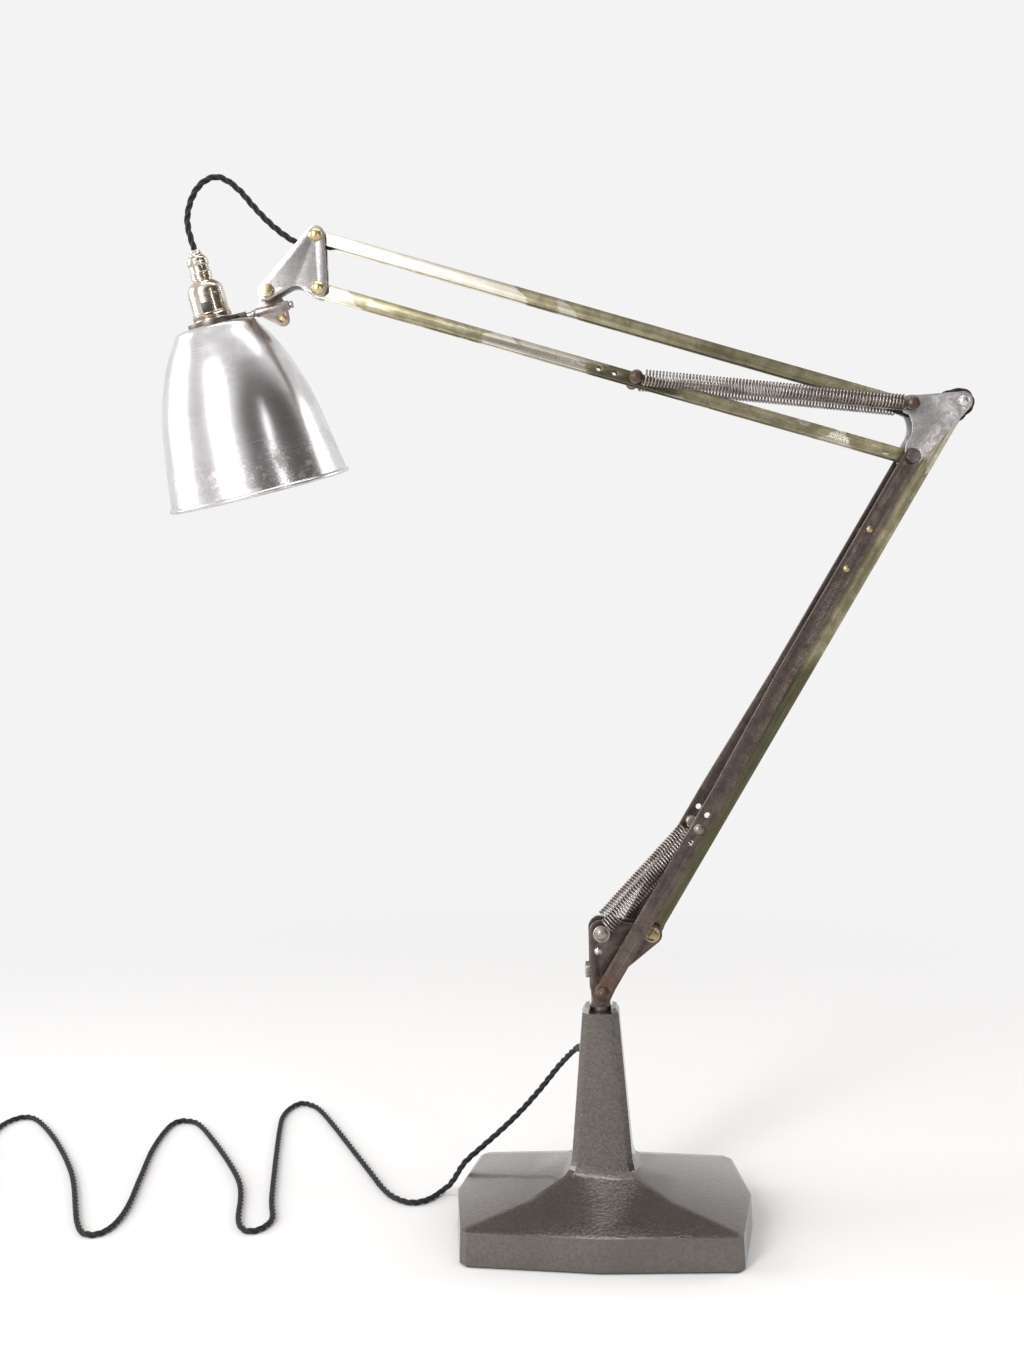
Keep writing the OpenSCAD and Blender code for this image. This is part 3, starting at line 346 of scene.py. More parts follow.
def hammered_enamel():
    """Grey enamel on a sand casting: small hammered dimples with a gloss and their low rims painted darker as
    shade, and edges lightened, partly rubbed shiny and partly a painted highlight.
    """
    look = Look("hammered_enamel")
    at = look.place()
    dimple = look.cells(at, 430, "SMOOTH_F1")
    sand = look.noise(at, 900, 4, 0.65)
    broad = look.noise(at, 9, 3, 0.5)
    flake = look.noise(at, 2100, 2, 0.7)
    colour = look.mix(look.step(broad, 0.35, 0.65), tint(0.150, 0.131, 0.117), tint(0.122, 0.105, 0.094))
    # painted shade: the low rims of the hammered dimples, where the relief is deepest, are painted darker
    colour = look.mix(look.step(dimple, 0.25, 0.62) * 0.5, colour, tint(0.088, 0.075, 0.067))
    colour = look.mix(look.step(flake, 0.62, 0.74) * 0.3, colour, tint(0.34, 0.32, 0.295))
    chip = look.step(look.noise(at, 210, 5, 0.7), 0.68, 0.72)
    colour = look.mix(chip * 0.6, colour, tint(0.055, 0.042, 0.036))
    # edges lightened: partly enamel rubbed through, partly a painted highlight line
    edge = look.attribute("wear") * look.step(look.noise(at, 60, 4, 0.6), 0.20, 0.40)
    colour = look.mix(edge * 0.85, colour, tint(0.66, 0.63, 0.58))
    roughness = 0.22 + (broad - 0.5) * 0.10 + (sand - 0.5) * 0.24 + chip * 0.2 - edge * 0.05
    height = dimple * -0.9 + sand * 0.55 - chip * 0.3
    return look.finish(colour, 0.72, roughness, height, 0.42, 0.0006, Coat_Weight=0.55, Coat_Roughness=0.10)


def spun_aluminium():
    """Spun and buffed aluminium: fine turning lines, cloudy patches, pits and a few handling marks."""
    look = Look("spun_aluminium")
    at, wrap = look.place(), look.wrap()
    around, down = look.part(wrap, "X"), look.part(wrap, "Y")
    turned = look.noise(look.joined(around * 5, down * 900, 0.0), 1, 4, 0.65)
    coarse = look.noise(look.joined(around * 3, down * 90, 0.3), 1, 3, 0.5)
    cloud = look.noise(at, 28, 5, 0.6, 0.5)
    pit = look.step(look.noise(at, 950, 2, 0.6), 0.70, 0.76)
    scratch = look.step(look.noise(look.joined(around * 260, down * 6, 0.0), 1, 5, 0.8), 0.68, 0.72)
    colour = look.mix(look.step(cloud, 0.38, 0.66), tint(0.72, 0.705, 0.71), tint(0.585, 0.570, 0.575))
    colour = look.mix(pit * 0.7 + scratch * 0.15, colour, tint(0.28, 0.265, 0.265))
    low = look.step(down, 0.135, 0.150) * look.step(look.noise(at, 150, 5, 0.7), 0.5, 0.62)
    colour = look.mix(low * 0.4, colour, tint(0.42, 0.38, 0.34))
    roughness = 0.23 + (cloud - 0.5) * 0.18 + (turned - 0.5) * 0.14 + pit * 0.25 + low * 0.15
    return look.finish(colour, 1.0, roughness, turned * 0.7 + coarse * 0.8 - pit * 0.5, 0.13, 0.0002)


def worn_nickel():
    look = Look("worn_nickel")
    at = look.place()
    cloud = look.noise(at, 120, 5, 0.6, 0.4)
    fine = look.noise(at, 1400, 3, 0.7)
    rubbed = look.step(look.noise(at, 75, 4, 0.6), 0.52, 0.66)
    colour = look.mix(look.step(cloud, 0.36, 0.66), tint(0.68, 0.635, 0.56), tint(0.47, 0.41, 0.335))
    colour = look.mix(rubbed * 0.45, colour, tint(0.62, 0.48, 0.30))
    colour = look.mix(look.step(fine, 0.66, 0.74) * 0.7, colour, tint(0.16, 0.12, 0.09))
    # eased edges lightened: partly rubbed plating, partly a painted highlight
    edge = look.attribute("wear")
    colour = look.mix(edge * 0.6, colour, tint(0.93, 0.88, 0.80))
    roughness = 0.20 + (cloud - 0.5) * 0.22 + (fine - 0.5) * 0.12
    return look.finish(colour, 1.0, roughness, fine * 0.5 + cloud, 0.1, 0.0002)


def oiled_spring():
    look = Look("oiled_spring_steel")
    at = look.place()
    broad = look.noise(at, 60, 5, 0.6)
    fine = look.noise(at, 1600, 2, 0.6)
    colour = look.mix(look.step(broad, 0.38, 0.64), tint(0.37, 0.335, 0.315), tint(0.175, 0.135, 0.115))
    colour = look.mix(look.step(fine, 0.60, 0.75) * 0.5, colour, tint(0.16, 0.085, 0.05))
    roughness = 0.25 + (broad - 0.5) * 0.22 + (fine - 0.5) * 0.15
    return look.finish(colour, 0.95, roughness, fine, 0.15, 0.0002)


def black_braid():
    """Cotton braid on each strand of the twisted flex: small slanted stitches that cross."""
    look = Look("black_cotton_braid")
    wrap = look.wrap()
    around, along = look.part(wrap, "X"), look.part(wrap, "Y")
    stitches_per_metre, stitches_round = 900, 5
    one = (along * stitches_per_metre + around * stitches_round).fraction()
    two = (along * stitches_per_metre - around * stitches_round).fraction()
    stitch = ((one - 0.5) * 2).size() * ((two - 0.5) * 2).size()
    fuzz = look.noise(look.place(), 2600, 3, 0.7)
    colour = look.mix(look.step(stitch, 0.15, 0.75), tint(0.005, 0.0045, 0.005), tint(0.019, 0.018, 0.019))
    colour = look.mix(look.step(fuzz, 0.55, 0.75) * 0.5, colour, tint(0.034, 0.031, 0.031))
    return look.finish(colour, 0.0, 0.72 + (fuzz - 0.5) * 0.3, stitch + fuzz * 0.5, 0.5, 0.0003,
        Sheen_Weight=0.04)


def moulded(name, body, dust, rough, speck=900):
    """Moulded rubber or phenolic with a dull skin, a little dust, and rubbed edges lightened, partly as a
    painted highlight.
    """
    look = Look(name)
    at = look.place()
    broad = look.noise(at, 40, 4, 0.6)
    fine = look.noise(at, speck, 3, 0.6)
    colour = look.mix(look.step(broad, 0.42, 0.7) * 0.7, body, dust)
    # eased edges lightened to the dust colour: partly rubbing, partly a painted highlight
    colour = look.mix(look.attribute("wear") * 0.5, colour, dust)
    roughness = rough + (broad - 0.5) * 0.25 + (fine - 0.5) * 0.15
    return look.finish(colour, 0.0, roughness, fine + broad * 0.4, 0.2, 0.0003)


def wool_felt():
    look = Look("pressed_felt")
    at = look.place()
    fibre = look.noise(at, 1500, 5, 0.75, 0.8)
    matted = look.noise(at, 90, 4, 0.6)
    colour = look.mix(look.step(fibre, 0.35, 0.7), tint(0.035, 0.06, 0.042), tint(0.09, 0.14, 0.10))
    colour = look.mix(look.step(matted, 0.45, 0.7) * 0.5, colour, tint(0.05, 0.06, 0.045))
    return look.finish(colour, 0.0, 0.92 + (fibre - 0.5) * 0.1, fibre, 0.7, 0.0006, Sheen_Weight=0.3)


def pearl_glass():
    look = Look("pearl_glass")
    at = look.place()
    haze = look.noise(at, 60, 3, 0.5)
    frost = look.noise(at, 2200, 2, 0.6)
    colour = look.mix(haze, tint(0.93, 0.93, 0.91), tint(0.86, 0.86, 0.84))
    return look.finish(colour, 0.0, 0.30 + (frost - 0.5) * 0.2, frost, 0.1, 0.0001,
        Transmission_Weight=0.35, IOR=1.48)


LOWER_GRAIN = (LOWER_DIR, LOWER_SIDE)
UPPER_GRAIN = (UPPER_DIR, UPPER_UNDER)
SQUARE_GRAIN = (np.array([1, 0, 0]), np.array([0, 0, 1]))
enamel = hammered_enamel()
brown_steel = bare_metal(
    "browned_steel", tint(0.125, 0.094, 0.081), tint(0.060, 0.044, 0.037), tint(0.40, 0.36, 0.33),
    0.88, 0.34, blotch=75, grain=LOWER_GRAIN, rust=0.12,
        rust_at=[((A[0], -28, A[2]), 0.026), ((A[0] + 8, 28, A[2] + 6), 0.024)])
post_steel = bare_metal(
    "post_steel", tint(0.20, 0.165, 0.155), tint(0.10, 0.078, 0.070), tint(0.56, 0.52, 0.48),
    0.9, 0.38, blotch=80, grain=SQUARE_GRAIN, rust=0.25)
pivot_steel = bare_metal(
    "rusted_pivot_steel", tint(0.115, 0.078, 0.062), tint(0.060, 0.036, 0.026), tint(0.38, 0.31, 0.27),
    0.82, 0.42, blotch=160, rust=0.6)
mottled_steel = bare_metal(
    "mottled_steel", tint(0.47, 0.455, 0.455), tint(0.285, 0.270, 0.265), tint(0.72, 0.71, 0.70),
    0.96, 0.32, blotch=150, speck=1500, grain=SQUARE_GRAIN, rust=0.04)
bright_steel = bare_metal(
    "bright_steel", tint(0.72, 0.70, 0.68), tint(0.46, 0.43, 0.41), tint(0.92, 0.90, 0.87),
    1.0, 0.24, blotch=110, rust=0.05)
washer_steel = bare_metal(
    "washer_steel", tint(0.34, 0.295, 0.27), tint(0.19, 0.155, 0.14), tint(0.68, 0.63, 0.58),
    0.92, 0.36, blotch=150, rust=0.2)
clamp_steel = bare_metal(
    "clamp_steel", tint(0.36, 0.31, 0.29), tint(0.19, 0.155, 0.145), tint(0.70, 0.66, 0.62),
    0.92, 0.37, blotch=120, rust=0.1)
ring_steel = bare_metal(
    "ring_steel", tint(0.17, 0.148, 0.138), tint(0.09, 0.072, 0.064), tint(0.60, 0.56, 0.52),
    0.9, 0.35, blotch=140, rust=0.2)
pin_brass = bare_metal(
    "pin_brass", tint(0.74, 0.63, 0.36), tint(0.50, 0.39, 0.19), tint(0.95, 0.87, 0.62),
    1.0, 0.25, blotch=120)
dull_brass = bare_metal(
    "dull_brass", tint(0.46, 0.375, 0.21), tint(0.27, 0.205, 0.11), tint(0.84, 0.75, 0.52),
    0.97, 0.34, blotch=130)
copper_brass = bare_metal(
    "copper_brass", tint(0.62, 0.42, 0.24), tint(0.38, 0.235, 0.13), tint(0.88, 0.70, 0.48),
    0.98, 0.28, blotch=150)
upper_brass = strip_brass(
    "upper_brass", F, UPPER_DIR, UPPER_UNDER,
    [(-10, 30, 0.45), (146, 176, 1.0), (176, 234, 0.6), (452, 470, 0.5)], [(234, 310, 0.8)], 0.35)
top_brass = strip_brass("top_brass", G, UPPER_DIR, UPPER_UNDER, [(-12, 180, 1.0), (214, 226, 0.5)],
    [(330, 470, 0.4)])
# painted shade: the link's lower half is darker, partly in tone and partly as the painted shadow of the bar
# beside it
link_brass = strip_brass("link_brass", B, LOWER_DIR, LOWER_SIDE, [(470, 560, 0.25)], [(-20, 260, 0.85)])
aluminium = spun_aluminium()
nickel = worn_nickel()
spring_steel = oiled_spring()
braid = black_braid()
phenolic = moulded("black_phenolic", tint(0.016, 0.015, 0.015), tint(0.055, 0.05, 0.047), 0.36)
soft_rubber = moulded("black_rubber", tint(0.018, 0.017, 0.017), tint(0.06, 0.055, 0.05), 0.62)
felt = wool_felt()
glass = pearl_glass()


# ---- mesh helpers ----
def shaded(bm, degrees):
    """Smooth faces, with the edges sharper than that angle kept crisp."""
    limit = math.radians(degrees)
    for face in bm.faces:
        face.smooth = True
    for edge in bm.edges:
        edge.smooth = len(edge.link_faces) != 2 or edge.calc_face_angle(0) < limit


def as_object(name, bm, material, body=None):
    mesh = bpy.data.meshes.new(name)
    bm.to_mesh(mesh)
    bm.free()
    mesh.materials.clear()
    mesh.materials.append(material)
    made = bpy.data.objects.new(name, mesh)
    scene.collection.objects.link(made)
    if body:
        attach(made, body)
    return made


def dressed(node, material, width=0.35, crisp=30, angle=28):
    """A CAD piece with its outer edges eased: the eased faces carry the edge attribute that the materials
    lighten, partly as wear and partly as a painted highlight.
    """
    source = frame["nodes"][node]
    bm = bmesh.new()
    bm.from_mesh(source.data)
    bmesh.ops.remove_doubles(bm, verts=bm.verts, dist=1e-6)
    bmesh.ops.dissolve_limit(bm, angle_limit=math.radians(1.0), verts=bm.verts, edges=bm.edges)
    wear = bm.loops.layers.float.new("wear")
    for convex in (False, True):
        edges = [e for e in bm.edges if len(e.link_faces) == 2 and e.calc_face_angle(0) > math.radians(angle)
                 and (e.calc_face_angle_signed(0) > 0) == convex]
        if not edges:
            continue
        eased = bmesh.ops.bevel(bm, geom=edges, offset=width / 1000, offset_type="OFFSET", segments=2,
            profile=0.5,
                                affect="EDGES", clamp_overlap=True)
        # convex eased faces are marked 1: lightened later as rubbed wear and as a painted highlight
        if convex:
            for face in eased["faces"]:
                for loop in face.loops:
                    loop[wear] = 1.0
    bmesh.ops.triangulate(bm, faces=[f for f in bm.faces if len(f.verts) > 4])
    shaded(bm, crisp)
    body = source["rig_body"]
    made = as_object(node + "_dressed", bm, material, body)
    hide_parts(node)
    return made


def lathed(name, rings, place, material, segments=96, crisp=32, stretch=None, body=None):
    """A closed wall turned about an axis. Rings are (radius, height) in mm, round the cross-section."""
    rings = np.array(rings, float)
    length = run_along(rings)
    turn = 2 * np.pi * np.arange(segments) / segments
    points = np.stack([np.outer(rings[:, 0], np.cos(turn)), np.outer(rings[:, 0], np.sin(turn)),
                       np.repeat(rings[:, 1][:, None], segments, axis=1)], axis=2)
    if stretch is not None:
        points = stretch(points)
    flat = place(points.reshape(-1, 3)) / 1000
    bm = bmesh.new()
    verts = [bm.verts.new(p) for p in flat]
    unrolled = bm.loops.layers.uv.new("unrolled")
    wear = bm.loops.layers.float.new("wear")
    n = len(rings)
    total = length[-1] + float(np.linalg.norm(rings[-1] - rings[0]))
    for i in range(n):
        j = (i + 1) % n
        low, high = length[i] / 1000, (length[j] if j else total) / 1000
        for k in range(segments):
            m = (k + 1) % segments
            face = bm.faces.new((verts[i * segments + k], verts[i * segments + m], verts[j * segments + m],
                verts[j * segments + k]))
            for loop, (u, v) in zip(face.loops, ((k, low), (k + 1, low), (k + 1, high), (k, high))):
                loop[unrolled].uv = (u / segments, v)
                loop[wear] = 0.0
    bmesh.ops.recalc_face_normals(bm, faces=bm.faces)
    shaded(bm, crisp)
    return as_object(name, bm, material, body)


# ---- cords: three braided strands twisted about a smooth line ----
CORD_D = 5.6
TWIST = 26.0        # length of one turn of the strands


def smooth_line(points, step):
    """A spline through the points, with rings a fixed step apart."""
    p = np.array(points, float)
    q = np.concatenate([[2 * p[0] - p[1]], p, [2 * p[-1] - p[-2]]])
    q[0], q[-1] = p[0], p[-1]
    t = np.linspace(0, 1, 40, endpoint=False)[:, None]
    fine = [0.5 * (2 * b + (c - a) * t + (2 * a - 5 * b + 4 * c - d) * t ** 2 + (3 * b - a - 3 * c + d)
        * t ** 3)
            for a, b, c, d in zip(q[:-3], q[1:-2], q[2:-1], q[3:])]
    fine = np.concatenate(fine + [p[-1:]])
    s = run_along(fine)
    at = np.linspace(0, s[-1], int(round(s[-1] / step)) + 1)
    return np.stack([np.interp(at, s, fine[:, k]) for k in range(3)], axis=1)


def run_along(line):
    """How far each point of a line lies from its start."""
    return np.concatenate([[0], np.cumsum(np.linalg.norm(np.diff(line, axis=0), axis=1))])


def carried_frames(line):
    """Two directions square to the line at each ring, carried along it without twist."""
    heading = np.gradient(line, axis=0)
    heading /= np.linalg.norm(heading, axis=1)[:, None]
    side = np.cross(heading[0], [0.3, 0.2, 1.0])
    sides = []
    for t in heading:
        side = side - np.dot(side, t) * t
        side = side / np.linalg.norm(side)
        sides.append(side)
    sides = np.array(sides)
    return sides, np.cross(heading, sides)


def flex(name, points, step=1.1, body=None, strands=3, sides=7):
    """The twisted flex along a line of points in millimetres. Returns the piece and the line in metres."""
    line = smooth_line(points, step)
    a, b = carried_frames(line)
    s = run_along(line)
    strand_r, off = CORD_D * 0.232, CORD_D * 0.268
    bm = bmesh.new()
    unrolled = bm.loops.layers.uv.new("unrolled")
    for k in range(strands):
        turn = 2 * np.pi * (s / TWIST + k / strands)
        core = line + off * (np.cos(turn)[:, None] * a + np.sin(turn)[:, None] * b)
        ca, cb = carried_frames(core)
        round_ = 2 * np.pi * np.arange(sides) / sides
        rings = core[:, None, :] + strand_r * (np.cos(round_)[None, :, None] * ca[:, None, :]
            + np.sin(round_)[None, :, None] * cb[:, None, :])
        verts = [bm.verts.new(p) for p in rings.reshape(-1, 3) / 1000]
        for i in range(len(line) - 1):
            for m in range(sides):
                n = (m + 1) % sides
                face = bm.faces.new((verts[i * sides + m], verts[i * sides + n], verts[(i + 1) * sides + n],
                    verts[(i + 1) * sides + m]))
                face.smooth = True
                for loop, (u, v) in zip(face.loops, ((m, i), (m + 1, i), (m + 1, i + 1), (m, i + 1))):
                    loop[unrolled].uv = (u / sides, s[v] / 1000)
        for ring, flip in ((verts[:sides], True), (verts[-sides:], False)):
            bm.faces.new(list(reversed(ring)) if flip else ring)
    made = as_object(name, bm, braid, body)
    return made, line / 1000


LAY = 3.0
HOLE = np.array([-8, 19.0833, 156])
HOLE_DIR = np.array([-0.44666, 0.84370, -0.29778])
EXIT = HOLE + 12 * HOLE_DIR
ROUTE = [
    (-34, 62, 127), (-53, 70, 101), (-72, 76, 78), (-91, 76, 60), (-110, 72, 45), (-125, 68, 33),
    (-137, 75, 12.5), (-146, 76, LAY + 1.2)] + [(x, y, LAY) for x, y in (
        (-158, 59), (-172, 52), (-186, 60), (-201, 83), (-225, 146), (-281, 293), (-301, 327), (-315, 329),
        (-325, 298), (-323, 243), (-306, 77), (-298, 20), (-311, -3), (-327, 17), (-344, 115), (-403, 254),
        (-427, 283), (-442, 271), (-446, 207), (-441, 128), (-436, 52), (-441, 8), (-456, -3), (-473, 22),
        (-509, 134), (-550, 225), (-588, 290), (-608, 306), (-622, 292), (-627, 262))]
COIL_CENTRE = (-660, 205)
TAIL = [(-626, 181, 8), (-626, 163, 7), (-626, 155, 7)]


def coil_points():
    """The wound length beside the plug: one turn outside, then turns inside and on top, and out again."""
    out = []
    for t in range(0, 1091, 15):
        radius = np.interp(t, [0, 300, 350, 930, 975], [34, 34, 28.4, 28.4, 34])
        height = np.interp(t, [615, 660], [LAY, 8.6])
        a = math.radians(10 - t)
        out.append((COIL_CENTRE[0] + radius * math.cos(a), COIL_CENTRE[1] + radius * math.sin(a), height))
    return out


MAINS = [tuple(EXIT), tuple(HOLE + 26 * HOLE_DIR)] + ROUTE + coil_points() + TAIL
mains, mains_line = flex("mains_flex", MAINS, body="base")
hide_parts("mains_cord", "mains_coil")

HEAD_LOOP = [(-8, 0, -7.5), (-15, 0, -5.5), (-27, 0, 2), (-38.5, 0, 11.5), (-47, -1, 20), (-55, -1, 29),
    (-63, -2, 38.5), (-71, -2, 45.7)]
SHADE_LOOP = [(-72, -2, 46.5), (-80, -3, 50.5), (-88, -4, 50), (-96, -5, 45), (-102, -6, 37),
    (-106, -7, 27), (-108, -8, 16), (-107, -9, 5)]


def from_g(offsets):
    return [tuple(G + np.array(v)) for v in offsets]


LOOP_TOP = from_g([(-71.5, -2, 46.1)])
head_points = [tuple(G - 3.2 * UPPER_DIR - 5.5 * UPPER_OVER)] + from_g(HEAD_LOOP)[:-1] + LOOP_TOP
shade_points = LOOP_TOP + from_g(SHADE_LOOP)[1:] + [tuple(shade_place((0, 0, 64))[0]),
    tuple(shade_place((0, 0, 56))[0])]
head_flex, head_line = flex("head_flex", head_points, step=0.8)
shade_flex, shade_line = flex("shade_flex", shade_points, step=0.8)
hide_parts("head_cord")
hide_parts("shade_cord")
mm(*from_g([(-24, 0, 0)])[0])
mm(*from_g([(-66, 0, 42)])[0])
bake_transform(head_flex)
mm(*from_g([(-78, 0, 50)])[0])
mm(*shade_place((0, 0, 66))[0])
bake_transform(shade_flex)


def arm_points(origin, direction, side, offsets):
    """Points given as (along, across, above) an arm's line."""
    return [tuple(origin + u * direction + np.array([0, y, 0]) - w * side) for u, y, w in offsets]


bracket_flex, _ = flex("bracket_flex", [
    (0.6, 0, 192), (2.6, 0, 199), tuple(A + [7.4, 0, -5.5]), tuple(A + [8.6, 0, 0.5]), tuple(A + [12, 0, 9]),
    tuple(A + [20, 0, 18.5]), tuple(A + [31, 0, 28.5]), tuple(B + 2 * LOWER_SIDE - 12 * LOWER_DIR),
    tuple(B + 5.9 * LOWER_SIDE - 3.2 * LOWER_DIR), tuple(B + 4.8 * LOWER_SIDE + 12 * LOWER_DIR)], step=0.9)
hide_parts("bracket_cord")
mm(*(B - 20 * LOWER_DIR))
mm(*(B - 2 * LOWER_DIR))
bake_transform(bracket_flex)

link_flex, _ = flex("link_flex", arm_points(B, LOWER_DIR, LOWER_SIDE, [
    (-1, 0, -5.7), (14, 0, -4.7), (40, 0, 0), (266.5, 0, 0), (493, 0, 0), (515, 0, -4.3)]), step=1.4,
        body="lower_link_arm")
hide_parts("link_cord")

elbow_turn = [tuple(D + 9.8 * np.array([math.cos(math.radians(a)), 0, math.sin(math.radians(a))]))
    for a in range(-35, 106, 28)]
elbow_flex, _ = flex("elbow_flex", [
    tuple(D - 17.5 * LOWER_DIR + 4.9 * LOWER_SIDE), tuple(D - 13.4 * LOWER_DIR + 5.9 * LOWER_SIDE)]
        + elbow_turn + [
    tuple(E + [32, 0, 9]), tuple(E + [22, 0, 2]), tuple(E + [12, 0, -4.5]), tuple(E + [3, 0, -6.7]),
    tuple(E - 1.4 * UPPER_DIR - 6.4 * UPPER_OVER), tuple(E - 14 * UPPER_DIR - 5.6 * UPPER_OVER)], step=0.9)
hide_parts("elbow_cord")
mm(*(E + [13, 0, 0]))
mm(*(E + [-3, 0, 0]))
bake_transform(elbow_flex)

upper_flex, _ = flex("upper_flex", arm_points(G, UPPER_DIR, UPPER_UNDER, [
    (-4, 0, -5.5), (14, 0, -4.7), (38, 0, -0.6), (264, 0, -0.6), (488, 0, -0.6), (512, 0, -5.7),
        (525, 0, -6.3)]), step=1.4, body="upper_link_arm")
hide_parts("upper_cord")


# ---- plug, gland and the other pieces of the flex ----
plug_back = dressed("plug_cover", phenolic, 1.1)
plug_front = dressed("plug_body", phenolic, 1.1)
plug_contacts = dressed("plug_pins", pin_brass, 0.5)
plug_boot = dressed("plug_sleeve", soft_rubber, 0.5)
gland = dressed("cord_gland", soft_rubber, 0.4)
mm(*EXIT)


# ---- springs: a winding with a ring hooked round the pin at each end ----
def spring_tree():
    tree = bpy.data.node_groups.new("spring_winding", "GeometryNodeTree")
    face = tree.interface
    face.new_socket("Hooks", in_out="INPUT", socket_type="NodeSocketGeometry")
    keys = {}
    for key in ("Wire radius", "Coil radius", "Turns", "Coil length", "Coil start"):
        keys[key] = face.new_socket(key, in_out="INPUT", socket_type="NodeSocketFloat").identifier
    keys["Steel"] = face.new_socket("Steel", in_out="INPUT", socket_type="NodeSocketMaterial").identifier
    face.new_socket("Spring", in_out="OUTPUT", socket_type="NodeSocketGeometry")
    sizes = tree.nodes.new("NodeGroupInput")
    result = tree.nodes.new("NodeGroupOutput")

    def put(kind, links, **settings):
        made = tree.nodes.new(kind)
        for key, value in settings.items():
            setattr(made, key, value)
        for key, value in links.items():
            if isinstance(value, bpy.types.NodeSocket):
                tree.links.new(value, made.inputs[key])
            else:
                made.inputs[key].default_value = value
        return made

    s = sizes.outputs
    winding = put("GeometryNodeCurveSpiral", {
        "Resolution": 22, "Rotations": s["Turns"], "Start Radius": s["Coil radius"],
            "End Radius": s["Coil radius"],
        "Height": s["Coil length"], "Reverse": False})
    lift = put("ShaderNodeCombineXYZ", {"Z": s["Coil start"]})
    raised = put("GeometryNodeTransform", {"Geometry": winding.outputs[0], "Translation": lift.outputs[0]})
    hooks = put("GeometryNodeMeshToCurve", {"Mesh": s["Hooks"]})
    both = tree.nodes.new("GeometryNodeJoinGeometry")
    tree.links.new(raised.outputs[0], both.inputs[0])
    tree.links.new(hooks.outputs[0], both.inputs[0])
    section = put("GeometryNodeCurvePrimitiveCircle", {"Resolution": 8, "Radius": s["Wire radius"]},
        mode="RADIUS")
    wire = put("GeometryNodeCurveToMesh",
        {"Curve": both.outputs[0], "Profile Curve": section.outputs[0], "Fill Caps": True})
    rounded = put("GeometryNodeSetShadeSmooth", {"Geometry": wire.outputs[0]})
    real = put("GeometryNodeRealizeInstances", {"Geometry": rounded.outputs[0]})
    steel = put("GeometryNodeSetMaterial", {"Geometry": real.outputs[0], "Material": s["Steel"]})
    tree.links.new(steel.outputs[0], result.inputs[0])
    return tree, keys


SPRING_TREE, SPRING_KEYS = spring_tree()
WIRE_D = 1.7


def wound_spring(name, node, near_pin, far_pin, y, outer_r, ring, pitch, bodies):
    """A coil spring between two pins at y. ring is the radius of the pins that it hooks round."""
    run = float(np.linalg.norm(far_pin - near_pin))
    axis = (far_pin - near_pin) / run
    mid_r = outer_r - WIRE_D / 2
    start = ring + 2 * WIRE_D + 0.6
    length = run - 2 * start
    turns = round(length / pitch)
    hook_r = ring + WIRE_D / 2 + 0.1

    def hook(flip):
        ring_points = [(hook_r * math.sin(a), 0.45 * (1 - a / 6), -hook_r * math.cos(a))
            for a in np.linspace(math.pi, math.pi * 2.92, 22)]
        lead = [(mid_r, 0, start), (mid_r * 0.86, 0.8, start - 0.9), (mid_r * 0.5, 1.0, start - 1.6),
            (mid_r * 0.15, 0.8, hook_r + 0.9)]
        line = smooth_line(lead + ring_points[1:], 0.8)
        if flip:
            line = np.stack([line[:, 0], -line[:, 1], run - line[:, 2]], axis=1)
        return line

    bm = bmesh.new()
    for flip in (False, True):
        verts = [bm.verts.new(p) for p in hook(flip) / 1000]
        for one, two in zip(verts, verts[1:]):
            bm.edges.new((one, two))
    mesh = bpy.data.meshes.new(name + "_hooks")
    bm.to_mesh(mesh)
    bm.free()
    source = bpy.data.objects.new(name + "_hooks", mesh)
    scene.collection.objects.link(source)
    winding = source.modifiers.new("winding", "NODES")
    winding.node_group = SPRING_TREE
    for key, value in {"Wire radius": WIRE_D / 2000, "Coil radius": mid_r / 1000, "Turns": float(turns),
                       "Coil length": length / 1000, "Coil start": start / 1000,
                           "Steel": spring_steel}.items():
        winding[SPRING_KEYS[key]] = value
    made_mesh = bpy.data.meshes.new_from_object(source.evaluated_get(bpy.context.evaluated_depsgraph_get()))
    bpy.data.objects.remove(source)
    square = np.cross([0, 1, 0], axis)
    made_mesh.transform(Matrix((
        (square[0], 0, axis[0], near_pin[0] / 1000), (square[1], 1, axis[1], y / 1000),
        (square[2], 0, axis[2], near_pin[2] / 1000), (0, 0, 0, 1))))
    made_mesh.name = name
    made = bpy.data.objects.new(name, made_mesh)
    scene.collection.objects.link(made)
    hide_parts(node)
    first, last = (far_pin, near_pin) if bodies[0] == "elbow" else (near_pin, far_pin)
    mm(first[0], y, first[2])
    mm(last[0], y, last[2])
    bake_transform(made)


for side_name, y in (("near", -18), ("far", 18)):
    lower, upper = f"lower_spring_{side_name}", f"upper_spring_{side_name}"
    wound_spring(lower + "_wound", lower, S1, STUD, y, 7.25, 3.8, 2.75, ("bracket", "lower_arm"))
    wound_spring(upper + "_wound", upper, H, E, y, 7.0, 3.3, 2.85, ("elbow", "upper_arm"))

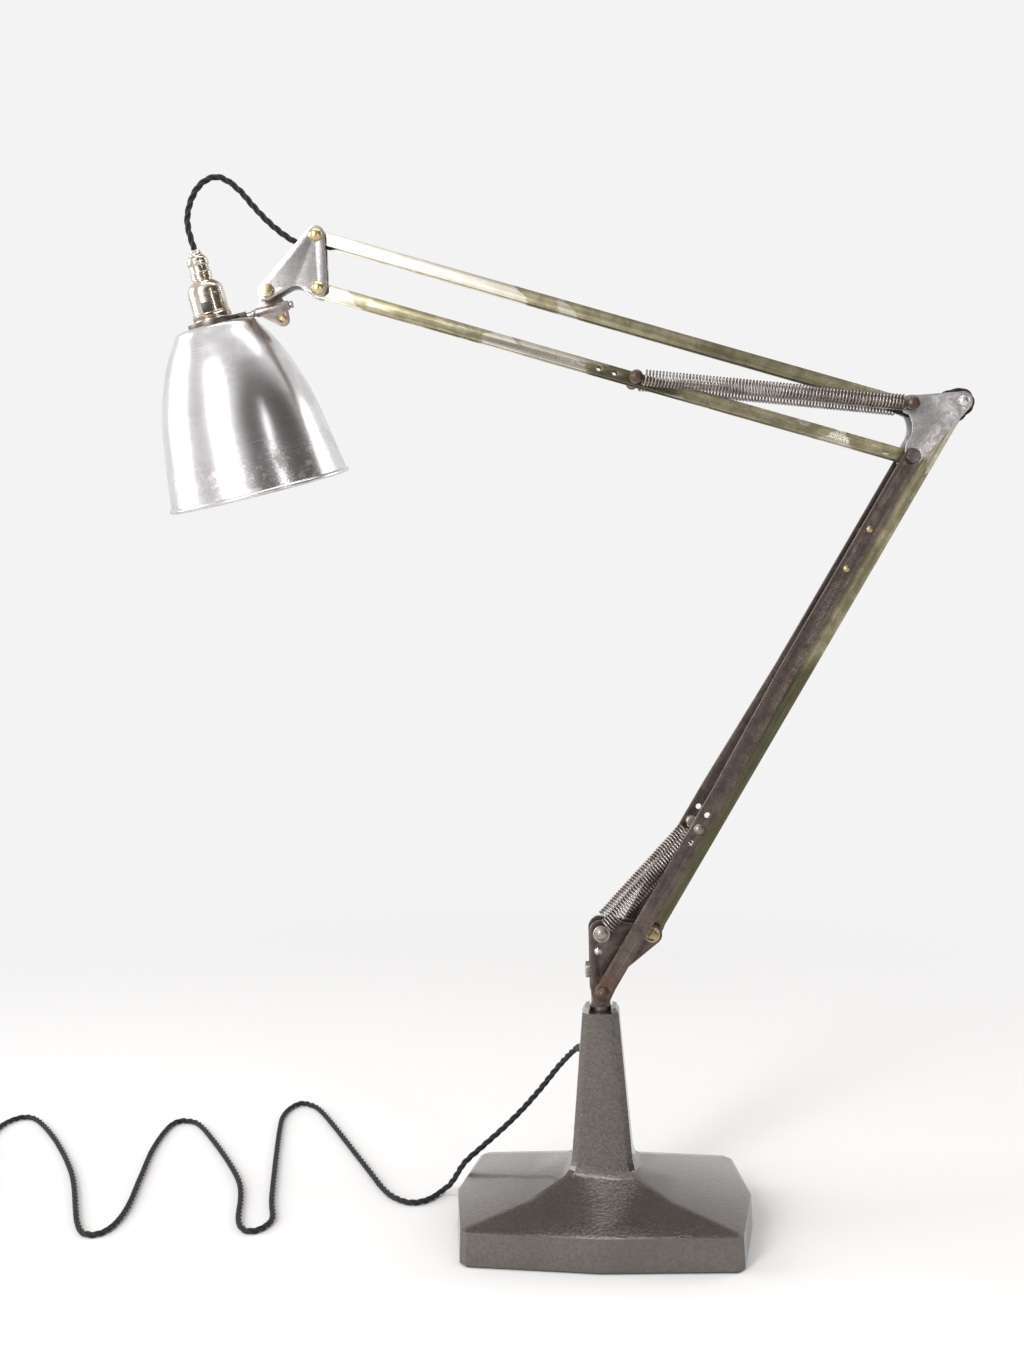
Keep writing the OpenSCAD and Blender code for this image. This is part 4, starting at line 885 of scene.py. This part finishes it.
# ---- strip, plate and turned pieces ----
EASED = [
    ("base_casting", enamel, "iron", 1.1), ("base_cover", post_steel, "iron", 0.3),
        ("base_felt", felt, "felt", 0.4),
    ("stem_bush", dull_brass, "brass", 0.3), ("bush_screw", washer_steel, "dark_steel", 0.3),
    ("swivel_post", post_steel, "dark_steel", 0.4), ("bracket_plate_near", brown_steel, "dark_steel", 0.4),
    ("bracket_plate_far", brown_steel, "dark_steel", 0.4), ("bracket_rivet", bright_steel, "grey_steel", 0.3),
    ("bracket_screw", washer_steel, "grey_steel", 0.35), ("lower_pivot_pin", pivot_steel, "dark_steel", 0.4),
    ("lower_pivot_sleeves", post_steel, "dark_steel", 0.3),
        ("lower_spring_pin", washer_steel, "grey_steel", 0.4),
    ("link_pin", dull_brass, "brass", 0.35), ("lower_bar_near", brown_steel, "dark_steel", 0.5),
    ("lower_bar_far", brown_steel, "dark_steel", 0.5), ("arm_spacers", dull_brass, "brass", 0.35),
    ("spring_studs", washer_steel, "grey_steel", 0.4), ("lower_link", link_brass, "brass", 0.3),
    ("elbow_plate_near", mottled_steel, "grey_steel", 0.4),
        ("elbow_plate_far", mottled_steel, "grey_steel", 0.4),
    ("elbow_bolt", ring_steel, "dark_steel", 0.35), ("elbow_rivet", bright_steel, "grey_steel", 0.35),
    ("elbow_spring_pin", pivot_steel, "dark_steel", 0.35), ("upper_arm_bar", upper_brass, "brass", 0.35),
    ("arm_spring_pin", pivot_steel, "dark_steel", 0.35), ("upper_link_bar", top_brass, "brass", 0.35),
    ("head_plate_near", mottled_steel, "grey_steel", 0.4),
        ("head_plate_far", mottled_steel, "grey_steel", 0.4),
    ("head_pins", pin_brass, "brass", 0.35), ("tilt_bolt", pin_brass, "brass", 0.35),
    ("clamp_cheek_near", clamp_steel, "grey_steel", 0.3), ("clamp_cheek_far", clamp_steel, "grey_steel", 0.3),
    ("clamp_screw", copper_brass, "brass", 0.25), ("shade_rod", washer_steel, "grey_steel", 0.3),
    ("carrier_ring", ring_steel, "dark_steel", 0.4), ("switch_bar", phenolic, "black_plastic", 0.5),
    ("bulb_cap", nickel, "nickel", 0.3), ("bulb_glass", glass, "glass", 0.2)]
for node, material, slot_name, width in EASED:
    dressed(node, material, width)

# ---- shade ----
CROWN = -2.15       # the outside of the shade's flat top
MOUTH_LOW = -144    # the middle of the rolled rim, below the crown
MOUTH_R = 78
BEAD_R = 2.0
SHEET = 1.2
HOLE_R = 14.2       # the hole that the lampholder passes through
OUTLINE = [(31, 0), (35, -1.6), (38, -6.6), (46, -19), (55.2, -38), (65.6, -68.6), (72.4, -105.1),
    (78.5, -144)]
DENTS = [(262, -22, 9, 8, 0.55), (300, -118, 14, 20, 0.35), (228, -84, 12, 16, 0.3),
    (100, -60, 16, 18, 0.5), (20, -110, 13, 15, 0.4)]


def handled(points):
    """Small dents, and a rim that is no longer quite round. The top stays true."""
    angle = np.arctan2(points[:, :, 1], points[:, :, 0])
    radius = np.hypot(points[:, :, 0], points[:, :, 1])
    z = points[:, :, 2]
    change = np.zeros_like(z)
    for degrees, height, wide, high, depth in DENTS:
        arc_off = (angle - math.radians(degrees) + math.pi) % (2 * math.pi) - math.pi
        change -= depth * np.exp(-((arc_off * radius / wide) ** 2 + ((z - height) / high) ** 2))
    change += 0.25 * np.clip(-z / 146, 0, 1) * np.cos(2 * angle + 0.6)
    factor = 1 + np.where(z < CROWN - 3, change / np.maximum(radius, 1), 0)
    return np.stack([points[:, :, 0] * factor, points[:, :, 1] * factor, z], axis=2)


def shade_wall():
    line = smooth_line([(r, 0, z) for r, z in OUTLINE], 2.2)
    line = line[line[:, 2] > -143.2]
    outer = [(HOLE_R, CROWN), (22, CROWN)] + [(r, z + CROWN) for r, _, z in line]
    bead = [(MOUTH_R + BEAD_R * math.cos(a), CROWN + MOUTH_LOW + BEAD_R * math.sin(a))
            for a in np.radians(np.arange(62, -251, -24))]
    inner = [(r - SHEET, z + CROWN - (SHEET if z > -4 else 0)) for r, _, z in line[::-1]]
    inner += [(22, CROWN - SHEET), (HOLE_R, CROWN - SHEET)]
    return outer + bead + inner


shade = lathed("spun_shade", shade_wall(), shade_place, aluminium, 168, 40, handled,
    body="shade_unit")
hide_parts("shade")


# ---- lampholder: threaded skirt, barrel with a domed shoulder, neck and cord grip ----
def bow(centre, radius, first, last, count):
    return [(centre[0] + radius * math.cos(math.radians(a)), centre[1] + radius * math.sin(math.radians(a)))
            for a in np.linspace(first, last, count)]


skirt = [(12.8, CROWN - 7), (13.9, CROWN - 7), (13.9, 2.15), (17.0, 2.15)] + bow((16.2, 3.1), 1.0, -30, 60,
    5) + [
    (16.4, 4.4), (16.9, 4.9), (16.4, 5.4), (16.9, 5.9), (16.4, 6.4), (16.9, 6.9), (16.4, 7.4), (16.0, 8.15),
        (12.8, 8.15)]
barrel = [(14.0, 8.15), (16.2, 8.15)] + bow((15.9, 9.0), 0.6, -50, 60, 5) + [
    (15.6, 9.9), (15.55, 12.2), (15.5, 22.6), (15.9, 23.0), (15.9, 23.9), (15.4, 24.3),
        (15.4, 27.15)] + bow((7.4, 27.15), 8.0, 4, 50, 7) + [
    (11.6, 33.9), (11.0, 34.6)] + bow((7.0, 32.4), 4.0, 30, 78, 4) + [
    (7.9, 36.6), (7.9, 37.4), (7.3, 37.8), (7.3, 38.8), (7.3, 42.15), (5.7, 42.15), (5.7, 34.2),
        (7.0, 33.2), (13.8, 27.2)]
grip = [(7.32, 37.3), (8.4, 37.3), (9.2, 38.0), (9.2, 39.4), (8.7, 39.9), (8.7, 40.5), (9.2, 41.0),
    (9.2, 42.6), (8.6, 43.1), (8.3, 43.8), (8.2, 48.4),
        (8.8, 48.9), (9.2, 49.5), (9.2, 51.6), (8.7, 52.2)] + bow((5.3, 53.2), 3.6, 8, 58, 5) + [
    (6.3, 57.0), (6.0, 57.6), (6.0, 58.6), (5.2, 59.3), (4.6, 61.2), (4.2, 61.9), (2.85, 61.9),
        (2.85, 45.2), (7.32, 43.2)]
HOLDER = [("threaded_skirt", skirt, "holder_skirt"), ("holder_barrel", barrel, "holder_body"),
    ("cord_grip_cap", grip, "cord_grip")]
for name, rings, node in HOLDER:
    turned = lathed(name, rings, shade_place, nickel, 72, 34, body="shade_unit")
    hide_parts(node)


# ---- studio: pale floor that fades into the room, soft light ----
def studio_floor():
    bm = bmesh.new()
    bmesh.ops.create_circle(bm, cap_ends=True, segments=96, radius=9)
    mesh = bpy.data.meshes.new("studio_floor")
    bm.to_mesh(mesh)
    bm.free()
    floor = bpy.data.objects.new("studio_floor", mesh)
    scene.collection.objects.link(floor)
    look = Look("pale_floor")
    at = look.place()
    fade = look.step(look.gap(at, (-0.1, 0, 0)), 0.45, 1.5)
    paper = look.node("ShaderNodeBsdfDiffuse", {}, {"Color": tint(0.80, 0.795, 0.79)})
    glow = look.node("ShaderNodeEmission", {}, {"Color": tint(0.92, 0.915, 0.915), "Strength": 0.98})
    look.close(look.node("ShaderNodeMixShader", {}, {0: fade, 1: paper, 2: glow}))
    mesh.materials.append(look.owner)


def room_light():
    """A white room, darker in front on the right and overhead, so that metal has something to mirror."""
    world = bpy.data.worlds.new("studio_room")
    scene.world = world
    look = Look("studio_room", world)
    way = look.node("ShaderNodeTexCoord", out="Generated")
    height = look.part(way, "Z")
    right = look.step(look.along(way, (0.77, -0.64, 0)), 0.46, 0.76) * (1 - look.step(height, 0.62, 0.97))
    front = look.step(look.along(way, (-0.62, -0.78, 0)), 0.80, 0.97)
    overhead = look.step(look.along(way, (0, 0.40, 0.92)), 0.80, 0.97)
    colour = look.mix(right * 0.93, tint(0.98, 0.97, 0.97), tint(0.07, 0.055, 0.052))
    colour = look.mix(front * 0.35, colour, tint(0.45, 0.38, 0.41))
    colour = look.mix(overhead * 0.85, colour, tint(0.14, 0.125, 0.12))
    light = look.node("ShaderNodeBackground", {}, {"Color": colour, "Strength": 0.95})
    seen = look.node("ShaderNodeBackground", {}, {"Color": tint(0.92, 0.915, 0.915), "Strength": 0.98})
    direct = look.node("ShaderNodeLightPath", out="Is Camera Ray")
    mixed = look.node("ShaderNodeMixShader", {}, {0: direct, 1: light, 2: seen})
    output = look.tree.nodes.new("ShaderNodeOutputWorld")
    look.tree.links.new(mixed.socket, output.inputs["Surface"])


def softbox(name, place, aim, width, height, power):
    data = bpy.data.lights.new(name, "AREA")
    data.shape = "RECTANGLE"
    data.size, data.size_y = width, height
    data.energy = power
    light = bpy.data.objects.new(name, data)
    scene.collection.objects.link(light)
    light.location = place
    light.rotation_euler = (Vector(aim) - Vector(place)).to_track_quat("-Z", "Y").to_euler()


studio_floor()
room_light()
softbox("key_softbox", (-1.25, -1.95, 1.25), (-0.2, 0, 0.6), 0.55, 1.9, 42)
softbox("side_softbox", (-2.3, 0.2, 1.2), (0, 0, 0.5), 1.2, 1.6, 22)
softbox("strip_light", (1.15, -1.85, 1.0), (-0.2, 0, 0.7), 0.08, 1.5, 4.5)
softbox("right_softbox", (2.2, 0.9, 1.3), (0.1, 0, 0.4), 1.0, 1.4, 14)
softbox("top_softbox", (0, -0.12, 2.4), (0, -0.09, 0), 1.8, 0.35, 9)
scene.view_settings.view_transform = "Standard"
